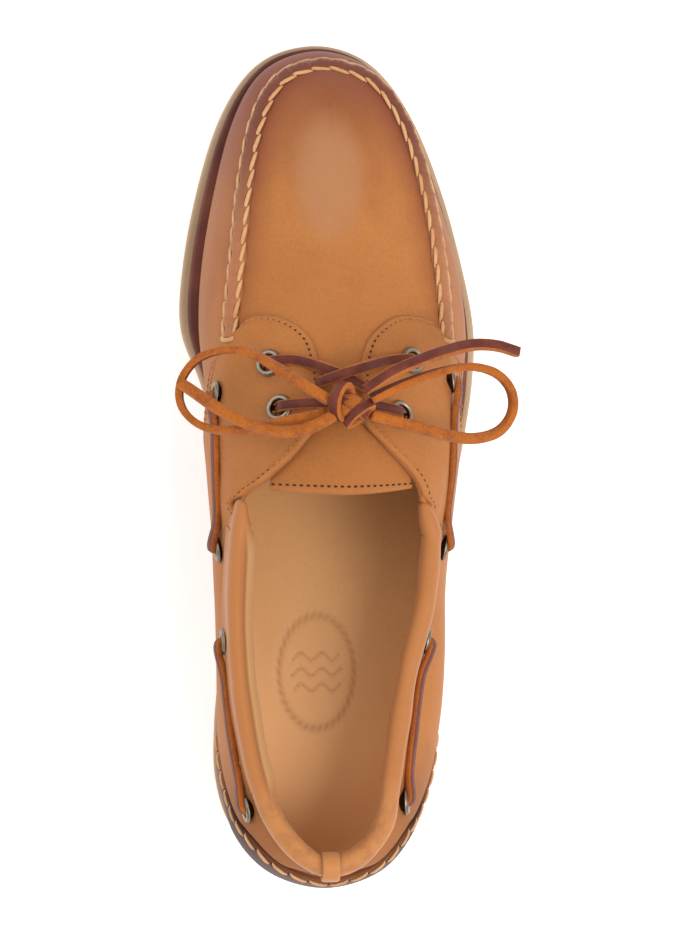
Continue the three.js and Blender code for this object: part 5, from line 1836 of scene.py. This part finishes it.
def eyelet_frame(place):
    """Point, normal and direction along the shoe of an eyelet on the bare upper."""
    _, side, row, level = place
    point = surface(side, row, level)
    tiny = 0.01
    along = unit(surface(side, row + tiny, level) - surface(side, row - tiny, level))
    return point, normal_at(side, row, level), along


def mouth(point, normal):
    """Where a lace over the instep bends down into its eyelet."""
    return point + normal * (LACE_SEAT - MOUTH_DROP) - (MOUTH_REACH * np.sign(point[0]), 0, 0)


class SHOE_OT_eyelets(bpy.types.Operator):
    """Build the metal eyelets"""
    bl_idname = "boat_shoe.eyelets"
    bl_label = "Eyelets"

    def execute(self, context):
        bore, edge, lift = EYELET_BORE / 2, EYELET_DIAMETER / 2, EYELET_LIFT
        low = -(OVERLAY_SEAT + WALL - 0.3)
        # Radius, height and brightness around one side of the ring
        profile, bright = np.split(np.array([
            (bore + 0.7, low, 0), (bore + 0.05, low, 0), (bore, low + 0.3, 0), (bore, lift + 0.35, 0.1),
            (bore + 0.12, lift + 0.7, 0.5), (bore + 0.4, lift + 0.98, 0.9),
            (bore + 0.75, lift + EYELET_FLANGE, 1), (bore + 1.1, lift + 1.02, 0.7),
            (bore + 1.45, lift + 0.8, 0.2), (edge - 0.1, lift + 0.4, 0.6), (edge, lift + 0.1, 0.9),
            (edge - 0.1, lift - 0.1, 0.2), (edge - 0.6, lift - 0.1, 0), (bore + 0.7, lift - 0.1, 0),
        ]), [2], axis=1)
        bright = bright[:, 0]
        angle = np.linspace(0, 2 * math.pi, EYELET_SIDES, endpoint=False)
        mark = NOTCH_DEPTH * np.cos(angle * EYELET_NOTCHES)
        for place in EYELETS:
            point, normal, along = eyelet_frame(place)
            if "side" in place[0]:
                normal = unit(normal * SIDE_EYELET_LEAN)
                along = unit(along - normal * along.dot(normal))
            across = np.cross(normal, along)
            height = profile[None, :, 1] + mark[:, None] * (np.arange(len(profile)) == NOTCHED_ROW)[None, :]
            radial = np.cos(angle)[:, None] * along + np.sin(angle)[:, None] * across
            rings = (point + normal * OVERLAY_SEAT + radial[:, None] * profile[None, :, :1]
                     + normal * height[..., None])
            build = Builder()
            grid = np.swapaxes(rings, 0, 1)
            build.grid(np.concatenate([grid, grid[:1]]), closed=True)
            rim = np.repeat(np.concatenate([bright, bright[:1]]), EYELET_SIDES)
            build.make(place[0] + "_ring", ["metal"], "eyelet_metal", replaces=(place[0],),
                       attributes={"rim": rim}, weld=0.0005)
        return {"FINISHED"}


class SHOE_OT_laces(bpy.types.Operator):
    """Build the side runs, the crossing and the bridge under the knot"""
    bl_idname = "boat_shoe.laces"
    bl_label = "Laces"

    def execute(self, context):
        named = {place[0]: place for place in EYELETS}
        for side, word in ((MEDIAL, "medial"), (LATERAL, "lateral")):
            for first, second, end in ((1, 2, "front"), (3, 4, "rear")):
                self.side_run(f"side_lace_{word}_{end}", side, named[f"eyelet_{word}_side_{first}"],
                              named[f"eyelet_{word}_side_{second}"])
        self.crossing(named)
        self.bridge(named)
        return {"FINISHED"}

    def side_run(self, name, side, first, second):
        def at(part, offset):
            row = first[2] + (second[2] - first[2]) * part
            level = first[3] + (second[3] - first[3]) * part
            return on_surface(side, row, level, offset)
        lying = [at(part, SIDE_LACE_LIE) for part in (0.2, 0.5, 0.8)]
        points = [at(0, -LACE_END), at(0, SIDE_LACE_SEAT), *lying, at(1, SIDE_LACE_SEAT), at(1, -LACE_END)]
        line = resampled(centripetal(points, 160), 1.0)
        normal = normal_at(side, (first[2] + second[2]) / 2, (first[3] + second[3]) / 2)
        run = unit(line[-1] - line[0])
        across = unit(np.cross(run, normal))
        outward = np.cross(across, unit(np.gradient(line, axis=0))) * -1
        outward *= np.sign(outward[len(line) // 2].dot(normal))
        lace(name + "_strip", line, outward, (name,), thickness=SIDE_LACE_THICKNESS, seed=len(name))

    def crossing(self, named):
        parts = Builder()
        middle = spine_point(CROSSING_ROW) + (0, 0, LACE_SEAT + CROSSING_LIFT)
        for word, shoulder, top, end in CROSSING_BARS:
            point, normal, _ = eyelet_frame(named[f"eyelet_{word}_front"])
            start = mouth(point, normal)
            last = middle + end
            points = [point - normal * LACE_END, start, start + shoulder, middle + top, last,
                      last + np.sign(end[0]) * np.array([1.3, 0, 0]) - (0, 0.5, 2.6)]
            self.add_strip(parts, resampled(centripetal(points, 120), 0.8))
        parts.make("lace_crossing_strips", ["suede", "grain"], "rawhide", replaces=("lace_crossing",),
                   weld=0.0005)

    def bridge(self, named):
        parts = Builder()
        medial, lateral = named["eyelet_medial_rear"], named["eyelet_lateral_rear"]
        (left, left_normal, _), (right, right_normal, _) = eyelet_frame(medial), eyelet_frame(lateral)
        middle = spine_point(BRIDGE_ROW) + (0, 0, LACE_SEAT + BRIDGE_LIFT)
        points = [left - left_normal * LACE_END, mouth(left, left_normal), middle + (-9, 0.4, -1.2),
                  middle, middle + (9, -0.4, -1.4), mouth(right, right_normal),
                  right - right_normal * LACE_END]
        self.add_strip(parts, resampled(centripetal(points, 160), 0.8))
        parts.make("lace_bridge_strip", ["suede", "grain"], "rawhide", replaces=("lace_bridge",), weld=0.0005)

    def add_strip(self, build, line):
        section, sides = lace_section()
        along = unit(np.gradient(line, axis=0))
        up = unit(np.cross((0, 1.0, 0), along)) * -1
        up *= np.sign(up[len(line) // 2][2])
        across = np.cross(along, up)
        rings = line[:, None] + across[:, None] * section[None, :, :1] + up[:, None] * section[None, :, 1:]
        build.tube(rings, sides=sides)


def centripetal(points, count):
    """A smooth line through points, paced by the square root of their distances."""
    points = [np.asarray(point, float) for point in points]
    points = [2 * points[0] - points[1]] + points + [2 * points[-1] - points[-2]]
    paces = [np.linalg.norm(second - first) ** 0.5 for first, second in zip(points, points[1:])]
    knots = np.concatenate([[0], np.cumsum(paces)])
    line = []
    for at in np.linspace(knots[1], knots[-2], count):
        first = int(np.clip(np.searchsorted(knots, at, "right") - 1, 1, len(points) - 3))
        near, times = points[first - 1:first + 3], knots[first - 1:first + 3]
        layer = list(near)
        for depth in (1, 2):
            pairs = zip(layer, layer[1:], times, times[depth:])
            layer = [(low * (end - at) + high * (at - start)) / (end - start)
                     for low, high, start, end in pairs]
        line.append((layer[0] * (times[2] - at) + layer[1] * (at - times[1])) / (times[2] - times[1]))
    return np.array(line)


class SHOE_PT_panel(bpy.types.Panel):
    """Sizes and build steps of the shoe"""
    bl_idname = "SHOE_PT_panel"
    bl_label = "Boat Shoe"
    bl_space_type = "VIEW_3D"
    bl_region_type = "UI"
    bl_category = "Boat Shoe"

    def draw(self, context):
        for key in GROUPS:
            group = getattr(context.scene, key)
            for name in group.__annotations__:
                self.layout.prop(group, name)
        for operator in OPERATORS:
            self.layout.operator(operator.bl_idname)


OPERATORS = [
    SHOE_OT_stage, SHOE_OT_bow, SHOE_OT_sole, SHOE_OT_insole, SHOE_OT_upper, SHOE_OT_seam,
    SHOE_OT_quarters, SHOE_OT_counter, SHOE_OT_collar, SHOE_OT_tongue, SHOE_OT_eyelets, SHOE_OT_laces,
]
GROUPS = {
    "boat_shoe_stage": BoatShoeStage,
    "boat_shoe_colours": BoatShoeColours,
    "boat_shoe_sizes": BoatShoeSizes,
}
CLASSES = [*GROUPS.values(), *OPERATORS, SHOE_PT_panel]


def register():
    for kind in CLASSES:
        bpy.utils.register_class(kind)
    for key, kind in GROUPS.items():
        setattr(bpy.types.Scene, key, bpy.props.PointerProperty(type=kind))


def unregister():
    for key in GROUPS:
        delattr(bpy.types.Scene, key)
    for kind in reversed(CLASSES):
        bpy.utils.unregister_class(kind)


def main():
    register()
    materials.update(build_materials())
    for operator in OPERATORS:
        group, name = operator.bl_idname.split(".")
        getattr(getattr(bpy.ops, group), name)()


if __name__ == "__main__":
    main()
